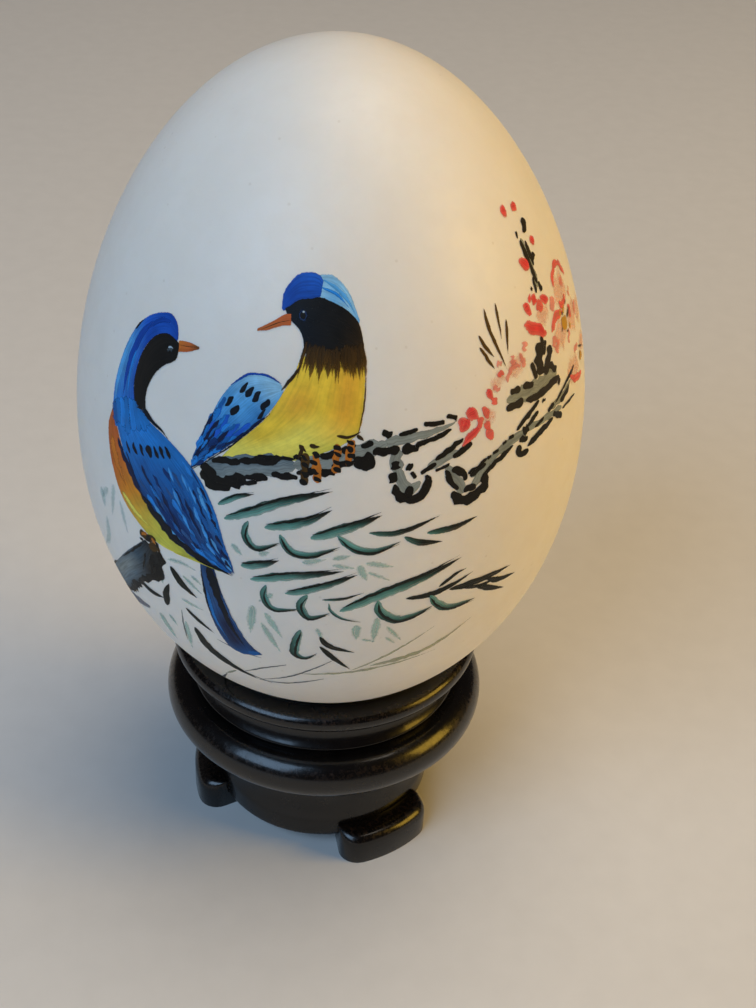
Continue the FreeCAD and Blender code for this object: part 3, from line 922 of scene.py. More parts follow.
RIGHT_FACE_FRONT = [(-10.6, 25.9), (-8, 25.0), (-6.8, 24.0), (-6.5, 23.0), (-5, 22.4), (-2, 22.3),
                    (2, 22.2), (5, 22.2), (7, 22.4)]
BREAST_LEFT = [(-7.2, 22.4), (-8.5, 20.6), (-10.4, 18.9), (-13.5, 16.2), (-16.5, 14.5), (-20.2, 12.6),
               (-22.7, 11.0)]
BREAST_RIGHT = [(7.0, 24.0), (7.3, 21.0), (7, 18.6), (5.7, 15.0), (-1, 13.0), (-8, 11.8), (-22.5, 10.9)]
RIGHT_WING_OUTER = [(-10.4, 19.0), (-11, 19.6), (-12.8, 20.0), (-15.3, 20.2), (-17.8, 20.1),
                    (-20.2, 19.6), (-22.1, 18.6), (-24, 17.2), (-25.2, 15.8), (-26.7, 13.9), (-28, 12.0),
                    (-29.2, 10.0), (-29.6, 8.7)]
RIGHT_WING_INNER = [(-10.3, 18.8), (-11.3, 17.8), (-13.2, 16.4), (-16.2, 14.5), (-19.6, 13.0),
                    (-22.7, 11.5), (-25.2, 10.4), (-27.5, 9.4), (-29.3, 8.6)]


def right_bird_front(paints):
    """Its yellow breast."""
    breast = PaintLayer("right_bird_breast", 21)
    breast.patch(BREAST_RIGHT, BREAST_LEFT, [["yellow", "yellow", "yellow", "yellow", "yellow"],
        ["yellow", "amber", "yellow", "yellow", "yellow"],
        ["yellow", "amber", "yellow", "amber", "yellow"],
        ["olive_yellow", "lemon", "lemon", "yellow", "yellow"],
        ["olive_yellow", "lemon", "lemon", "yellow", "yellow"],
        ["olive_yellow", "lemon", "lemon", "lemon", "lemon"],
        ["olive_yellow", "lemon", "lemon", "lemon", "olive_yellow"]], 0)
    breast.make(paints["yellow"])


def right_bird_head(paints):
    """Blue crown, pale nape, black face ending in brown hairs, eye and beak."""
    crown = PaintLayer("right_bird_crown", 22)
    crown.patch(NAPE_UPPER, NAPE_LOWER, [["pale_blue", "pale_blue"], ["pale_blue", "light_blue"],
                                         ["pale_blue", "pale_blue"], ["light_blue", "light_blue"]], 2)
    crown.patch(CROWN_UPPER, CROWN_LOWER, [["royal_blue", "deep_blue"], ["deep_blue", "deep_blue"],
                                           ["royal_blue", "deep_blue"], ["royal_blue", "deep_blue"]], 3)
    crown.stroke("leaf", 0.45, "light_blue", [(-3.2, 29.9), (-0.6, 29.4), (2.6, 28.3), (5.2, 26.6)], 4,
                 0.2)
    crown.stroke("leaf", 0.4, "sky_blue", [(-3.4, 29.2), (0.4, 28.6), (3.6, 27.3)], 4, 0.2)
    crown.make(paints["blue"])

    face = PaintLayer("right_bird_face", 23)
    face.patch(RIGHT_FACE_BACK, RIGHT_FACE_FRONT, [["blue_ink", "blue_ink"], ["ink", "blue_ink"],
        ["ink", "ink"], ["brown_ink", "brown_ink"]], 4)
    hairs = 30
    for hair in range(hairs):
        share = hair / (hairs - 1)
        degrees = -6.2 + 13.0 * share + face.random.uniform(-0.25, 0.25)
        root = 23.9 - 0.4 * math.sin(math.pi * share) + face.random.uniform(-0.2, 0.3)
        tip = 20.5 + face.random.uniform(-0.7, 1.0)
        lean = -1.6 * (1 - share) ** 2 + 0.5 * share
        tint = [("brown_ink",) * 2, (("umber", "brown_ink"), ("umber",) * 2)[hair % 2],
                ("umber_wash",) * 2]
        face.stroke("leaf", face.random.uniform(0.38, 0.62), tint,
                    [(degrees, root), (degrees + lean, tip)], 5 + hair % 3, 0.2)
    face.stroke("line", 0.4, "brown_ink", [(-7, 21.6), (-9, 20.1), (-10.9, 18.9)], 5, 0.2)
    face.make(paints["ink"])
    eye = PaintLayer("right_bird_eye", 24)
    eye.stroke("drop", 1.3, "iris_blue", [(-8.5, 26.3), (-6.1, 26.5)], 6, 0.05, 0.3)
    eye.stroke("drop", 0.8, "ink", [(-8.0, 26.3), (-6.6, 26.45)], 7, 0.03, 0.12)
    eye.stroke("drop", 0.28, "eye_grey", [(-7.5, 26.7), (-6.9, 26.75)], 8, 0.03, 0.06)
    eye.make(paints["ink"])
    beak = PaintLayer("right_bird_beak", 25)
    beak.patch([(-9.7, 25.3), (-12.2, 25.1), (-15.3, 24.5), (-17.9, 24.25)],
               [(-10, 26.45), (-11.6, 26.35), (-14.1, 25.6), (-17.8, 24.55)],
               [["orange", "orange"], ["beak_brown", "orange"], ["beak_brown", "beak_brown"]], 5, 0.1)
    beak.stroke("line", 0.13, "umber", [(-10.2, 25.8), (-13, 25.4), (-16.8, 24.5)], 6, 0.05, 0.05)
    beak.make(paints["ochre"])


def right_bird_wing(paints):
    """The raised wing behind it, pale at the top, with a row of dark spots."""
    wing = PaintLayer("right_bird_wing", 26)
    wing.patch(RIGHT_WING_INNER, RIGHT_WING_OUTER, [
        ["light_blue", "pale_blue", "pale_blue"], ["light_blue", "pale_blue", "pale_blue"],
        ["wing_blue", "light_blue", "pale_blue"], ["wing_blue", "light_blue", "light_blue"],
        ["wing_dark", "azure", "light_blue"], ["wing_dark", "wing_blue", "azure"],
        ["navy", "wing_dark", "wing_blue"], ["navy", "navy", "wing_dark"]], 3)
    cover_with_feathers(wing, RIGHT_WING_OUTER, RIGHT_WING_INNER, 7, 4, (0.46, 0.9), 0.6,
                        ["azure", "wing_blue", "sky_blue", "wing_dark", "wing_blue"])
    wing.stroke("line", 0.35, "deep_blue", [(-10.8, 19.6), (-14.5, 20.2), (-18.6, 19.9), (-22.2, 18.5)],
                4, 0.2)
    for width, start, end in ((0.8, (-21.5, 15.6), (-26.4, 11.8)), (0.7, (-19, 14.9), (-24.6, 11.9)),
                              (0.6, (-23.4, 16.4), (-27.0, 12.6)), (0.6, (-16.8, 15.2), (-21.6, 12.8))):
        wing.stroke("leaf", width, "royal_blue", [start, end], 4, 0.2)
    wing.make(paints["blue"])
    spots = PaintLayer("right_bird_spots", 27)
    for degrees, up, width in ((-19.0, 18.6, 0.6), (-17.6, 18.3, 0.62), (-16.0, 17.95, 0.66),
            (-13.9, 17.3, 0.85), (-21.9, 16.9, 0.62), (-20.5, 16.15, 0.66), (-14.6, 16.3, 0.5)):
        spots.stroke("drop", width, "blue_ink", [(degrees - 0.85, up - 0.6), (degrees + 0.75, up + 0.6)],
                     6, 0.2, 0.08)
    for width, start, end in ((0.7, (-23.8, 14.8), (-28.9, 9.4)), (0.5, (-21.4, 14.0), (-27, 10.2)),
                              (0.6, (-25.6, 13.4), (-29.3, 9.2)), (0.5, (-17.5, 14.2), (-24, 11.5)),
                              (0.4, (-24.6, 16.0), (-28.2, 11.8)), (0.4, (-13.8, 16.1), (-19, 13.4))):
        spots.stroke("leaf", width, "navy", [start, end], 5, 0.2)
    spots.stroke("line", 0.25, "blue_ink", [(-12.8, 16.5), (-19.6, 12.9), (-25.2, 10.3), (-29.2, 8.6)], 5,
                 0.2)
    spots.make(paints["ink"])


def right_bird_toes(paints):
    """Banded toes over the branch, and thin outlines round the breast."""
    toes = PaintLayer("right_bird_toes", 28)
    for start, end, light in (((-5.1, 12.9), (-4.8, 9.4), "umber"),
            ((-3.1, 13.1), (-2.4, 9.7), "leg_orange"), ((1.3, 14.0), (1.2, 10.8), "leg_orange"),
            ((4.6, 14.4), (3.5, 11.6), "leg_orange")):
        toes.stroke("dash", 0.85, light, [start, end], 6, 0.2, 0.08)
        for step in range(4):
            share = (step + 0.5 + toes.random.uniform(-0.15, 0.15)) / 4
            degrees = start[0] + (end[0] - start[0]) * share
            up = start[1] + (end[1] - start[1]) * share
            side = toes.random.uniform(-0.4, 0.4)
            toes.stroke("drop", toes.random.uniform(0.4, 0.65), "ink",
                        [(degrees + side - 0.8, up + 0.25), (degrees + side + 0.7, up - 0.25)], 7, 0.25,
                        0.06)
    for line in ([(-6.4, 13.7), (-4.8, 12.9)], [(-4.3, 13.7), (-2.0, 13.6)],
                 [(1.2, 14.8), (3.5, 14.6), (6.2, 15.2)], [(-5.6, 13.3), (-6.6, 12.2)],
                 [(5.4, 14.9), (6.9, 14.2)]):
        toes.stroke("leaf", 0.45, "brown_ink", line, 7, 0.2, 0.06)
    outline = [(7.3, 20.6), (7.1, 18.6), (6.4, 16.6), (5.6, 14.9)]
    toes.stroke("line", 0.22, "umber", outline, 5, 0.2, 0.06)
    toes.make(paints["ochre"])


# ---------------------------------------------------------------- the painting: stump and branch
def draw(layer, form, tint, coat, ragged, strokes, soft=0.10, swell=1.0, reach=1.0, rise=0.0):
    """Several strokes of one kind: each is its width followed by its places. swell widens them
    all, reach lengthens them about the middle of their run, and rise lifts them by a share of
    their width."""
    for width, *points in strokes:
        middle = np.mean([points[0], points[-1]], axis=0)
        run = [tuple(middle + (np.array(point) - middle) * reach + (0, rise * width)) for point in points]
        layer.stroke(form, width * swell, tint, run, coat, ragged, soft)


def stump_wood(paints):
    """The grey wood of the snapped trunk that the left bird stands on."""
    wood = PaintLayer("stump_wood", 31)
    upper = [(-42.2, -3.0), (-50, -7.0), (-55, -9.7), (-60, -12.2), (-65, -14.3), (-70, -16.2),
             (-76, -18.4), (-84, -21.5)]
    lower = [(-37.2, -3.9), (-39.3, -7.3), (-44, -9.5), (-50, -12.2), (-55, -14.8), (-60, -17.0),
             (-65, -19.0), (-70, -21.4), (-77, -24.0), (-84, -26.5)]
    wood.patch(lower, upper, [["ink", "ink", "ink", "ink"], ["ink", "ink", "dark_grey", "dark_grey"],
        ["ink", "cold_grey", "grey_wash", "cold_grey"], ["ink", "cold_grey", "grey_wash", "cold_grey"],
        ["ink", "cold_grey", "cold_grey", "cold_grey"], ["ink", "dark_grey", "cold_grey", "dark_grey"],
        ["ink", "cold_grey", "cold_grey", "dark_grey"], ["ink", "dark_grey", "cold_grey", "dark_grey"]],
               1)
    wood.make(paints["wash"])


def stump_bark(paints):
    """Its black bark, with brown touches at the broken end."""
    bark = PaintLayer("stump_bark", 32)
    draw(bark, "leaf", "ink", 3, 0.35, [(1.2, (-37.8, -4.6), (-39.4, -7.2), (-43.5, -9.1), (-49, -11.5)),
        (1.1, (-46, -10.4), (-53, -13.9), (-61, -17.5)), (1.4, (-58, -15.9), (-66, -19.2), (-74, -22.8)),
        (1.3, (-70, -20.9), (-78, -24), (-86, -27)), (0.4, (-42.8, -3.7), (-48, -6.4), (-54, -9.4)),
        (0.4, (-58, -11.4), (-66, -14.8), (-75, -18.2)),
        (0.7, (-40.0, -4.6), (-41.0, -6.2), (-41.6, -7.9)),
        (0.45, (-42.4, -5.0), (-43.4, -6.6), (-44.6, -8.2)),
        (0.9, (-38.6, -3.2), (-37.4, -4.2), (-37.8, -5.8))])
    draw(bark, "drop", "umber", 4, 0.3,
         [(1.5, (-43.6, -2.7), (-38.6, -2.1)), (1.1, (-41.0, -3.6), (-37.6, -3.4))])
    draw(bark, "drop", "leg_orange", 5, 0.2,
         [(0.6, (-42.9, -2.6), (-41.4, -1.9)), (0.5, (-39.9, -2.2), (-38.8, -2.8))])
    draw(bark, "drop", "ink", 6, 0.2, [(0.7, (-41.6, -3.0), (-40.4, -2.1)),
        (0.5, (-38.8, -2.4), (-38, -3.2)), (0.5, (-43.8, -3.3), (-42.6, -3.2))])
    draw(bark, "leaf", "ink", 4, 0.2, [(1.1, (-73.5, -22.6), (-75.5, -24.8), (-75.0, -27.2)),
        (0.8, (-76, -25), (-80, -28.2), (-86, -30)), (0.9, (-68, -20.6), (-69, -22.6), (-68.2, -24.2))])
    bark.make(paints["ink"])


def branch_core(paints):
    """The plum branch's grey core, laid before its bark."""
    core = PaintLayer("branch_core", 41)
    core.stroke("dash", 2.3, ("cold_grey", "grey_wash"),
                [(-26.8, 8.8), (-21.3, 10), (-15.5, 10.8), (-6.8, 11.5)], 1, 0.12)
    core.stroke("dash", 1.8, "grey_wash", [(-7.5, 11.4), (0.2, 12.1), (6, 13.1), (11.8, 13.8)], 2, 0.15)
    core.stroke("tail", 1.4, "grey_wash", [(11, 13.8), (20, 14.3), (25.2, 14.6), (27.5, 15.0)], 1, 0.15)
    draw(core, "dash", "grey_wash", 1, 0.2,
         [(1.3, (13.3, 13.3), (13.8, 11), (14.8, 9.6), (16.5, 8.5), (18.7, 9.3)),
          (1.1, (20, 10.4), (24, 11.2), (27.5, 11.7)),
          (1.2, (24.5, 10.4), (26, 9), (27.5, 7.8), (28.5, 6.8)),
          (1.2, (35.5, 9.9), (32, 8.3), (30.3, 7.1)), (1.1, (30, 8.4), (36, 9.8), (41, 10.7), (46, 11)),
          (0.9, (45, 11), (54, 10.8), (60, 10.5))])
    draw(core, "dash", "warm_grey", 1, 0.2, [(1.7, (40.4, 15.1), (50, 15), (59.3, 14.7)),
        (0.9, (58.7, 29.7), (59.1, 26.8), (59.3, 24.2)), (0.8, (55, 11.4), (61, 11.6), (66, 12.2))])
    core.make(paints["wash"])


def branch_bark(paints):
    """Broken black bark over both edges of the branch."""
    bark = PaintLayer("branch_bark", 42)
    upper = [(0.8, (-24.8, 10.2), (-21.5, 10.7), (-18.3, 10.8)),
             (1.0, (-18.9, 11), (-14.5, 11.4), (-9.8, 12)), (0.5, (-15, 12.0), (-7, 12.1)),
             (0.9, (-2.2, 12.7), (2.2, 12.9)), (0.7, (6.1, 13.7), (8.9, 14.0)),
             (0.9, (10.5, 15), (12.9, 14.7)), (0.6, (14.0, 14.6), (18.4, 14.9)),
             (0.8, (19.5, 15.3), (24.5, 15.1)), (0.7, (24.8, 15.7), (27.5, 15.2)),
             (0.8, (2.2, 13.1), (5.2, 13.9)), (0.6, (-7.6, 12.4), (-5.6, 12.2))]
    lower = [(1.8, (-27.2, 8.7), (-23, 7.9), (-19, 8.9), (-17, 9.3)),
             (1.3, (-27.0, 9.6), (-25.4, 9.0), (-24, 8.2)), (0.9, (-17.4, 9.4), (-12.4, 9.7)),
             (0.8, (-11.9, 10.2), (-6.3, 10.2)), (1.6, (4.6, 11.8), (9.2, 12.3)),
             (1.0, (8.5, 12.9), (14.4, 13.1)), (1.1, (14.6, 13.1), (18.5, 12.9)),
             (0.7, (17.5, 13.2), (26, 14.2)), (0.9, (-2.2, 10.9), (1.2, 11.0)),
             (0.7, (0.2, 11.6), (5.0, 12.1)), (0.6, (-20, 8.6), (-14.5, 9.0)),
             (0.8, (-6.8, 10.6), (-1.6, 11.2))]
    hanging = [(1.0, (13.0, 11.9), (13.7, 10.9)), (1.3, (12.6, 10.7), (13.1, 9.5)), (1.1, (13.1, 9.4),
        (14, 8.0), (16, 7.5), (18.6, 7.8), (20.2, 9.1), (19.7, 9.9)), (0.9, (15.6, 11.2), (16.9, 10.8)),
               (0.6, (16.6, 10.5), (17.7, 9.7)), (1.1, (15.2, 8.4), (17.2, 8.2)),
               (0.6, (18.6, 10.1), (22.2, 11.0)), (0.7, (21.8, 11.3), (25, 12.1), (28.7, 12.9)),
               (0.8, (25.8, 11.2), (30.7, 12.2)), (0.5, (21.8, 10.1), (25.2, 10.6)),
               (0.7, (24.1, 10.0), (25.5, 8.4), (27.2, 7.4)), (0.8, (25.6, 10.0), (28, 9.2), (29.0, 8.2)),
               (1.3, (25.8, 7.4), (27, 6.3), (29.5, 6.0), (31.5, 6.3), (33.6, 7.0), (33.6, 8.5)),
               (0.9, (28.2, 7.0), (31.4, 7.3)), (0.6, (29.3, 8.9), (32, 9.3), (34.3, 9.9))]
    right = [(0.7, (33, 8), (36.7, 9.1), (41.6, 10.1)), (0.6, (29.8, 8.5), (34, 9.4)),
             (0.5, (34.2, 9.8), (35.4, 10.0)), (0.5, (35.6, 10.2), (37.5, 10.3)),
             (0.5, (38.4, 10.7), (39.7, 11)), (0.5, (40.2, 11.1), (42, 11.1)),
             (0.7, (42.6, 11.5), (47, 12.5), (51, 13.3)), (1.2, (44.6, 10.8), (46.6, 11.2)),
             (0.6, (46, 11.3), (50.4, 12.2)), (0.5, (48.5, 10.7), (52.2, 11.1)),
             (0.9, (42.9, 9.8), (43.5, 8.7), (46.3, 8.5)), (0.8, (43.3, 10.3), (46.2, 10.0)),
             (0.8, (45.8, 9.1), (51, 9.8), (55.8, 10.2)), (0.7, (53.6, 11.4), (56.7, 11.6)),
             (0.5, (57, 11.6), (62, 12.4), (69.5, 13.1)), (0.8, (59.3, 11.2), (64.7, 11.8)),
             (0.9, (55.8, 10.7), (59.7, 9.3)), (0.4, (60, 10.2), (68, 10.0))]
    upper_piece = [(0.8, (41.8, 15.9), (45.2, 15.7)), (0.8, (45.8, 15.8), (49.7, 15.5)),
                   (1.0, (40.1, 14.4), (45.7, 14.3)), (1.0, (46.2, 14.2), (53, 13.9), (60.2, 14.1)),
                   (0.7, (49.8, 17.7), (51.1, 15.7)), (1.6, (53.8, 19.2), (52.3, 16.3)),
                   (0.9, (56.7, 18.9), (54.6, 17.6)), (1.3, (58.4, 18.0), (54.3, 15.4)),
                   (0.9, (59.2, 13.7), (60.4, 13.3)), (0.5, (51.8, 12.9), (53.4, 12.9)),
                   (1.0, (51.2, 16.5), (55.4, 15.9)), (0.9, (56.2, 16.2), (59.4, 15.0)),
                   (0.7, (55.4, 19.6), (54.5, 17.8))]
    upright = [(0.8, (58.2, 29.6), (58.8, 27), (59.3, 24.6)),
               (0.9, (61.1, 29.9), (62.6, 30.4), (64.5, 31.1)), (0.8, (57.2, 30.3), (58.4, 30.2)),
               (0.7, (60.3, 27.1), (62.6, 27.5)), (0.6, (56.6, 26.6), (57.6, 27.0)),
               (0.5, (55.6, 24.5), (56.6, 24.7)), (0.6, (59.9, 24.8), (60.3, 23.6)),
               (0.6, (60.4, 29.2), (60.2, 26.4)), (0.5, (58.2, 25.6), (57.6, 23.8))]
    draw(bark, "dash", "ink", 3, 0.2, upper + lower)
    draw(bark, "dash", "ink", 4, 0.18, hanging + right)
    draw(bark, "dash", "brown_black", 4, 0.18, upper_piece + upright)
    bark.make(paints["ink"])


def fine_twigs(paints):
    """A spray of thin twigs above the branch."""
    twigs = PaintLayer("fine_twigs", 43)
    draw(twigs, "leaf", "umber", 2, 0.1, [(0.5, (35.3, 22.8), (36.7, 21.4), (38.7, 20.1)),
        (0.42, (36, 20.7), (38.4, 18.9)), (0.5, (38.2, 25.2), (38.6, 23), (41.9, 18.3)),
        (0.4, (42, 25.3), (41.7, 21.5)), (0.42, (44.3, 23.3), (42.8, 19.8)),
        (0.4, (35.0, 21.6), (37.4, 19.8))], 0.06)
    twigs.make(paints["ink"])


# ---------------------------------------------------------------- the painting: blossom
def petals(paints):
    """Plum blossom: red touches for buds, and the petals of open flowers in coral and pink."""
    layer = PaintLayer("blossom_petals", 51)
    touch = [("pink", "coral", "pink"), ("coral", "red", "coral"), ("red", "red", "coral"),
             ("coral", "coral", "pink")]
    draw(layer, "drop", touch, 5, 0.15, [(1.5, (30.1, 15.0), (31.9, 15.5)),
        (1.1, (28.4, 14.3), (29.8, 14.1)), (0.9, (28.8, 12.3), (32.7, 13.5)),
        (1.1, (35.3, 16.5), (36.7, 16.8)), (1.4, (51.4, 23.0), (53.2, 23.3)),
        (1.3, (50.8, 21.4), (53.5, 20.8), (56.7, 19.7)), (1.1, (55.2, 33.1), (57.5, 32.9)),
        (1.0, (60.8, 32.8), (63.2, 32.5)), (1.0, (63, 28.9), (64.7, 28.4)),
        (1.1, (55.0, 27.8), (57.4, 26.7)), (1.0, (55.2, 23.9), (56.4, 23.1)),
        (1.0, (58.8, 23.1), (61.6, 22.4)), (1.3, (28.0, 14.9), (29.7, 13.9)),
        (0.9, (53.6, 24.0), (54.6, 23.6))], 0.3, 1.35, 1.4)
    draw(layer, "drop", "coral", 6, 0.2, [(1.2, (34.1, 14.6), (35.4, 15.0)),
        (1.1, (34.0, 13.4), (35.4, 13.6)), (1.1, (34.4, 12.3), (36.0, 12.6)),
        (0.9, (32.4, 13.6), (33.6, 14.4)), (0.8, (39.2, 18.0), (40.2, 18.5)),
        (0.9, (36.8, 15.4), (37.6, 16.0)), (0.9, (72.9, 18.1), (72.6, 19.4)),
        (1.0, (61, 19.1), (64, 19.9), (67.2, 19.6)), (1.2, (56.2, 22.6), (58.6, 22.2))], 0.25, 1.3, 1.35)
    draw(layer, "dash", "coral", 6, 0.25,
         [(0.9, (66.3, 22.8), (68.5, 24.0), (72, 24.5), (75, 23.6), (76.5, 22.1)),
          (0.9, (66.9, 21.0), (69.5, 20.3), (72.2, 20.9)),
          (0.9, (65.8, 12.7), (69.5, 11.5), (75.4, 10.6))], 0.22, 1.1)
    draw(layer, "dash", "pink", 5, 0.3, [(0.7, (37, 17.2), (39.2, 16.5)),
        (0.7, (41.3, 16.9), (43, 18.3), (46.4, 18)), (0.8, (48.0, 19.1), (48.9, 20.3)),
        (0.7, (46.2, 19.4), (47.6, 17.6)), (0.7, (44.4, 19.6), (43.6, 18.4)),
        (0.6, (38.6, 19.2), (41, 19.4)), (0.8, (60.4, 16.5), (63.2, 17.7)),
        (0.8, (67.8, 15.9), (69.8, 17.5)), (0.9, (62.4, 20.8), (64.6, 22.3)),
        (0.9, (70.5, 22.4), (73.6, 22.2)), (0.8, (74.4, 20.2), (77.2, 20.6)),
        (0.9, (61.6, 18.4), (59.8, 17.2)), (0.7, (70.4, 14.6), (74.6, 14.2)),
        (0.8, (76.6, 17.2), (79.4, 18.6))], 0.25, 1.25)
    layer.make(paints["red"])


def blush(paints):
    """A faint pink wash inside the open flowers."""
    bloom = PaintLayer("blossom_blush", 52)
    draw(bloom, "drop", "faint_pink", 1, 0.15, [(4.4, (65.8, 22.6), (74.5, 21.0)),
        (3.6, (60.6, 18.2), (68.5, 17.6)), (3.8, (69.6, 17.6), (78.4, 18.4)),
        (3.4, (64.6, 13.6), (73.6, 11.8)), (2.6, (42.0, 17.4), (47.8, 19.2)),
        (2.4, (33.2, 13.8), (37.6, 14.6)), (3.0, (76.0, 13.8), (84.0, 12.8)),
        (3.4, (77.6, 16.6), (86.0, 17.4)), (2.2, (36.2, 16.8), (41.2, 18.2)),
        (2.6, (54.6, 21.8), (61.4, 21.2))], 0.8)
    bloom.make(paints["blush"])


def stamens(paints):
    """Gold and brown touches in the middle of the flowers."""
    layer = PaintLayer("blossom_stamens", 53)
    draw(layer, "drop", "gold", 6, 0.3, [(1.5, (65.9, 18.3), (69.4, 18.8)),
        (1.1, (74.8, 12.7), (77.8, 12.1)), (0.7, (68.4, 19.4), (69.4, 20.2)),
        (0.6, (66.2, 19.6), (66.8, 20.2)), (0.6, (70.4, 17.6), (71.4, 17.2))])
    draw(layer, "drop", "umber", 7, 0.2, [(0.5, (67.0, 19.5), (68.0, 19.7)),
        (0.45, (69.8, 18.6), (72.8, 19.2)), (0.35, (68.0, 17.4), (69.4, 17.2)),
        (0.4, (74.5, 14), (79.2, 12.9)), (0.35, (65.0, 17.9), (66.0, 18.3)),
        (0.35, (70.6, 19.9), (71.6, 20.4))])
    layer.make(paints["ochre"])


# ---------------------------------------------------------------- the painting: bamboo
def bamboo_leaves(paints):
    """Sprays of bamboo below the branch. A loaded brush leaves each leaf dark on one side and
    teal on the other."""
    leaves = PaintLayer("bamboo_leaves", 61)
    green = [("teal", "teal", "teal", "pale_teal"), ("leaf_green", "leaf_green", "teal", "pale_teal"),
             ("leaf_ink", "leaf_green", "teal", "clear_teal"),
             ("leaf_ink", "leaf_ink", "leaf_green", "clear_teal"),
             ("leaf_ink", "leaf_ink", "leaf_ink", "thin_ink"), ("leaf_ink",) * 4]
    thin = [("leaf_ink", "leaf_green", "teal"), ("leaf_ink", "leaf_ink", "thin_ink"), ("leaf_ink",) * 3]
    under = [("pale_teal", "teal", "teal", "leaf_green"),
             ("clear_teal", "teal", "leaf_green", "leaf_ink"),
             ("clear_teal", "leaf_green", "leaf_ink", "leaf_ink"),
             ("clear_teal", "thin_ink", "leaf_ink", "leaf_ink")]
    rising = [(0.8, (-22.9, 5.5), (-19, 6.9), (-15.0, 7.7)),
              (1.3, (-21.5, 4.0), (-15, 5.8), (-8.3, 7.5), (0.9, 8.9)),
              (1.3, (-12.9, 4.0), (-5, 5.2), (0.8, 6.8)), (1.4, (-3.6, 3.3), (3.5, 4.6), (10.9, 6.0)),
              (1.2, (-17.9, -1.4), (-14, -0.8), (-9.7, 0.2)),
              (1.3, (-15.9, -3.0), (-8.4, -1.8), (3.5, -0.7)),
              (1.2, (-8.6, -4.2), (-1.8, -3.0), (6.3, -1.2)),
              (1.6, (2.7, -6.4), (8.9, -4.7), (16.8, -3.2), (23.4, -2.1), (28.8, -1.2))]
    draw(leaves, "leaf", green, 2, 0.06, rising)
    draw(leaves, "leaf", "leaf_ink", 3, 0.3, rising, 0.06, 0.26, 0.96, 0.30)
    draw(leaves, "leaf", thin, 2, 0.06, [
        (0.8, (8.0, 4.0), (14.1, 3.7), (23.0, 4.9)), (0.9, (20.2, 3.1), (26, 3.0), (32, 3.5)),
        (0.85, (15.4, 3.1), (18.7, 2.1), (24.0, 1.6)), (0.5, (-1.0, -4.7), (3.5, -4.5), (7.8, -3.7))])
    draw(leaves, "leaf", "leaf_ink", 2, 0.07,
         [(0.9, (16.6, -5.3), (22, -5.4), (27.3, -4.8), (32.4, -3.8)),
          (1.1, (26.6, -5.4), (33.2, -5.6), (43.6, -5.7)), (0.85, (33.2, -6.1), (38, -7.7), (43.4, -9.1)),
          (0.85, (36.6, -6.0), (40.3, -7.0), (46.2, -7.6)),
          (0.6, (24.0, -4.6), (27.6, -3.4), (30.4, -3.0)),
          (0.6, (30.5, -6.0), (36.0, -6.6), (40.4, -6.4))])
    hooked = [(1.0, (-16.2, 4.5), (-16.9, 2.8), (-14.4, 1.3), (-9.4, 2.5)),
              (1.1, (-9.7, 3.5), (-7.8, 1.7), (-3.7, 1.2), (2.5, 2.4)),
              (1.1, (1.8, 3.8), (5.3, 2.2), (9.4, 1.7), (14.8, 2.6)),
              (1.0, (-12.5, -3.3), (-13.1, -5), (-10.9, -6.7), (-5.3, -6.2)),
              (1.1, (-3.9, -4.0), (-5.4, -5.7), (-3.4, -7.5), (0.9, -6.6)),
              (0.5, (0.5, -5.1), (1, -6.3), (3.5, -7.5), (7.5, -8.1)),
              (1.4, (10.7, -5.0), (11.4, -6.7), (14.7, -8.2), (18, -8.3), (23.4, -7.2)),
              (1.2, (22.2, -5.5), (24.5, -7.2), (28, -8.3), (34.4, -8.3)),
              (1.2, (-5.4, -9.5), (-6.5, -12), (-6.9, -13.9), (-4.6, -14.7), (-1.8, -13.6))]
    draw(leaves, "leaf", under, 3, 0.06, hooked)
    draw(leaves, "leaf", "leaf_ink", 4, 0.25, hooked, 0.06, 0.30, 0.97, -0.26)
    draw(leaves, "leaf", "leaf_ink", 3, 0.07, [(0.8, (-1.3, -10.5), (1, -12.2), (6.8, -13.5)),
        (0.8, (-1.3, -12.2), (1.5, -14.2), (6.2, -17.1)),
        (1.0, (-47.5, -10.7), (-43.5, -11.3), (-39.3, -11)),
        (1.1, (-39.2, -12.2), (-38, -9.8), (-36.4, -7.8)),
        (1.1, (-35.2, -4.9), (-32.5, -6.9), (-28.8, -8.2)),
        (0.7, (-32.9, -10.7), (-29.7, -12.2), (-26.0, -13.5)),
        (1.5, (-31.7, -13.8), (-29.5, -17.2), (-24.5, -19.8), (-17.6, -22.0))])
    leaves.make(paints["leaf"])


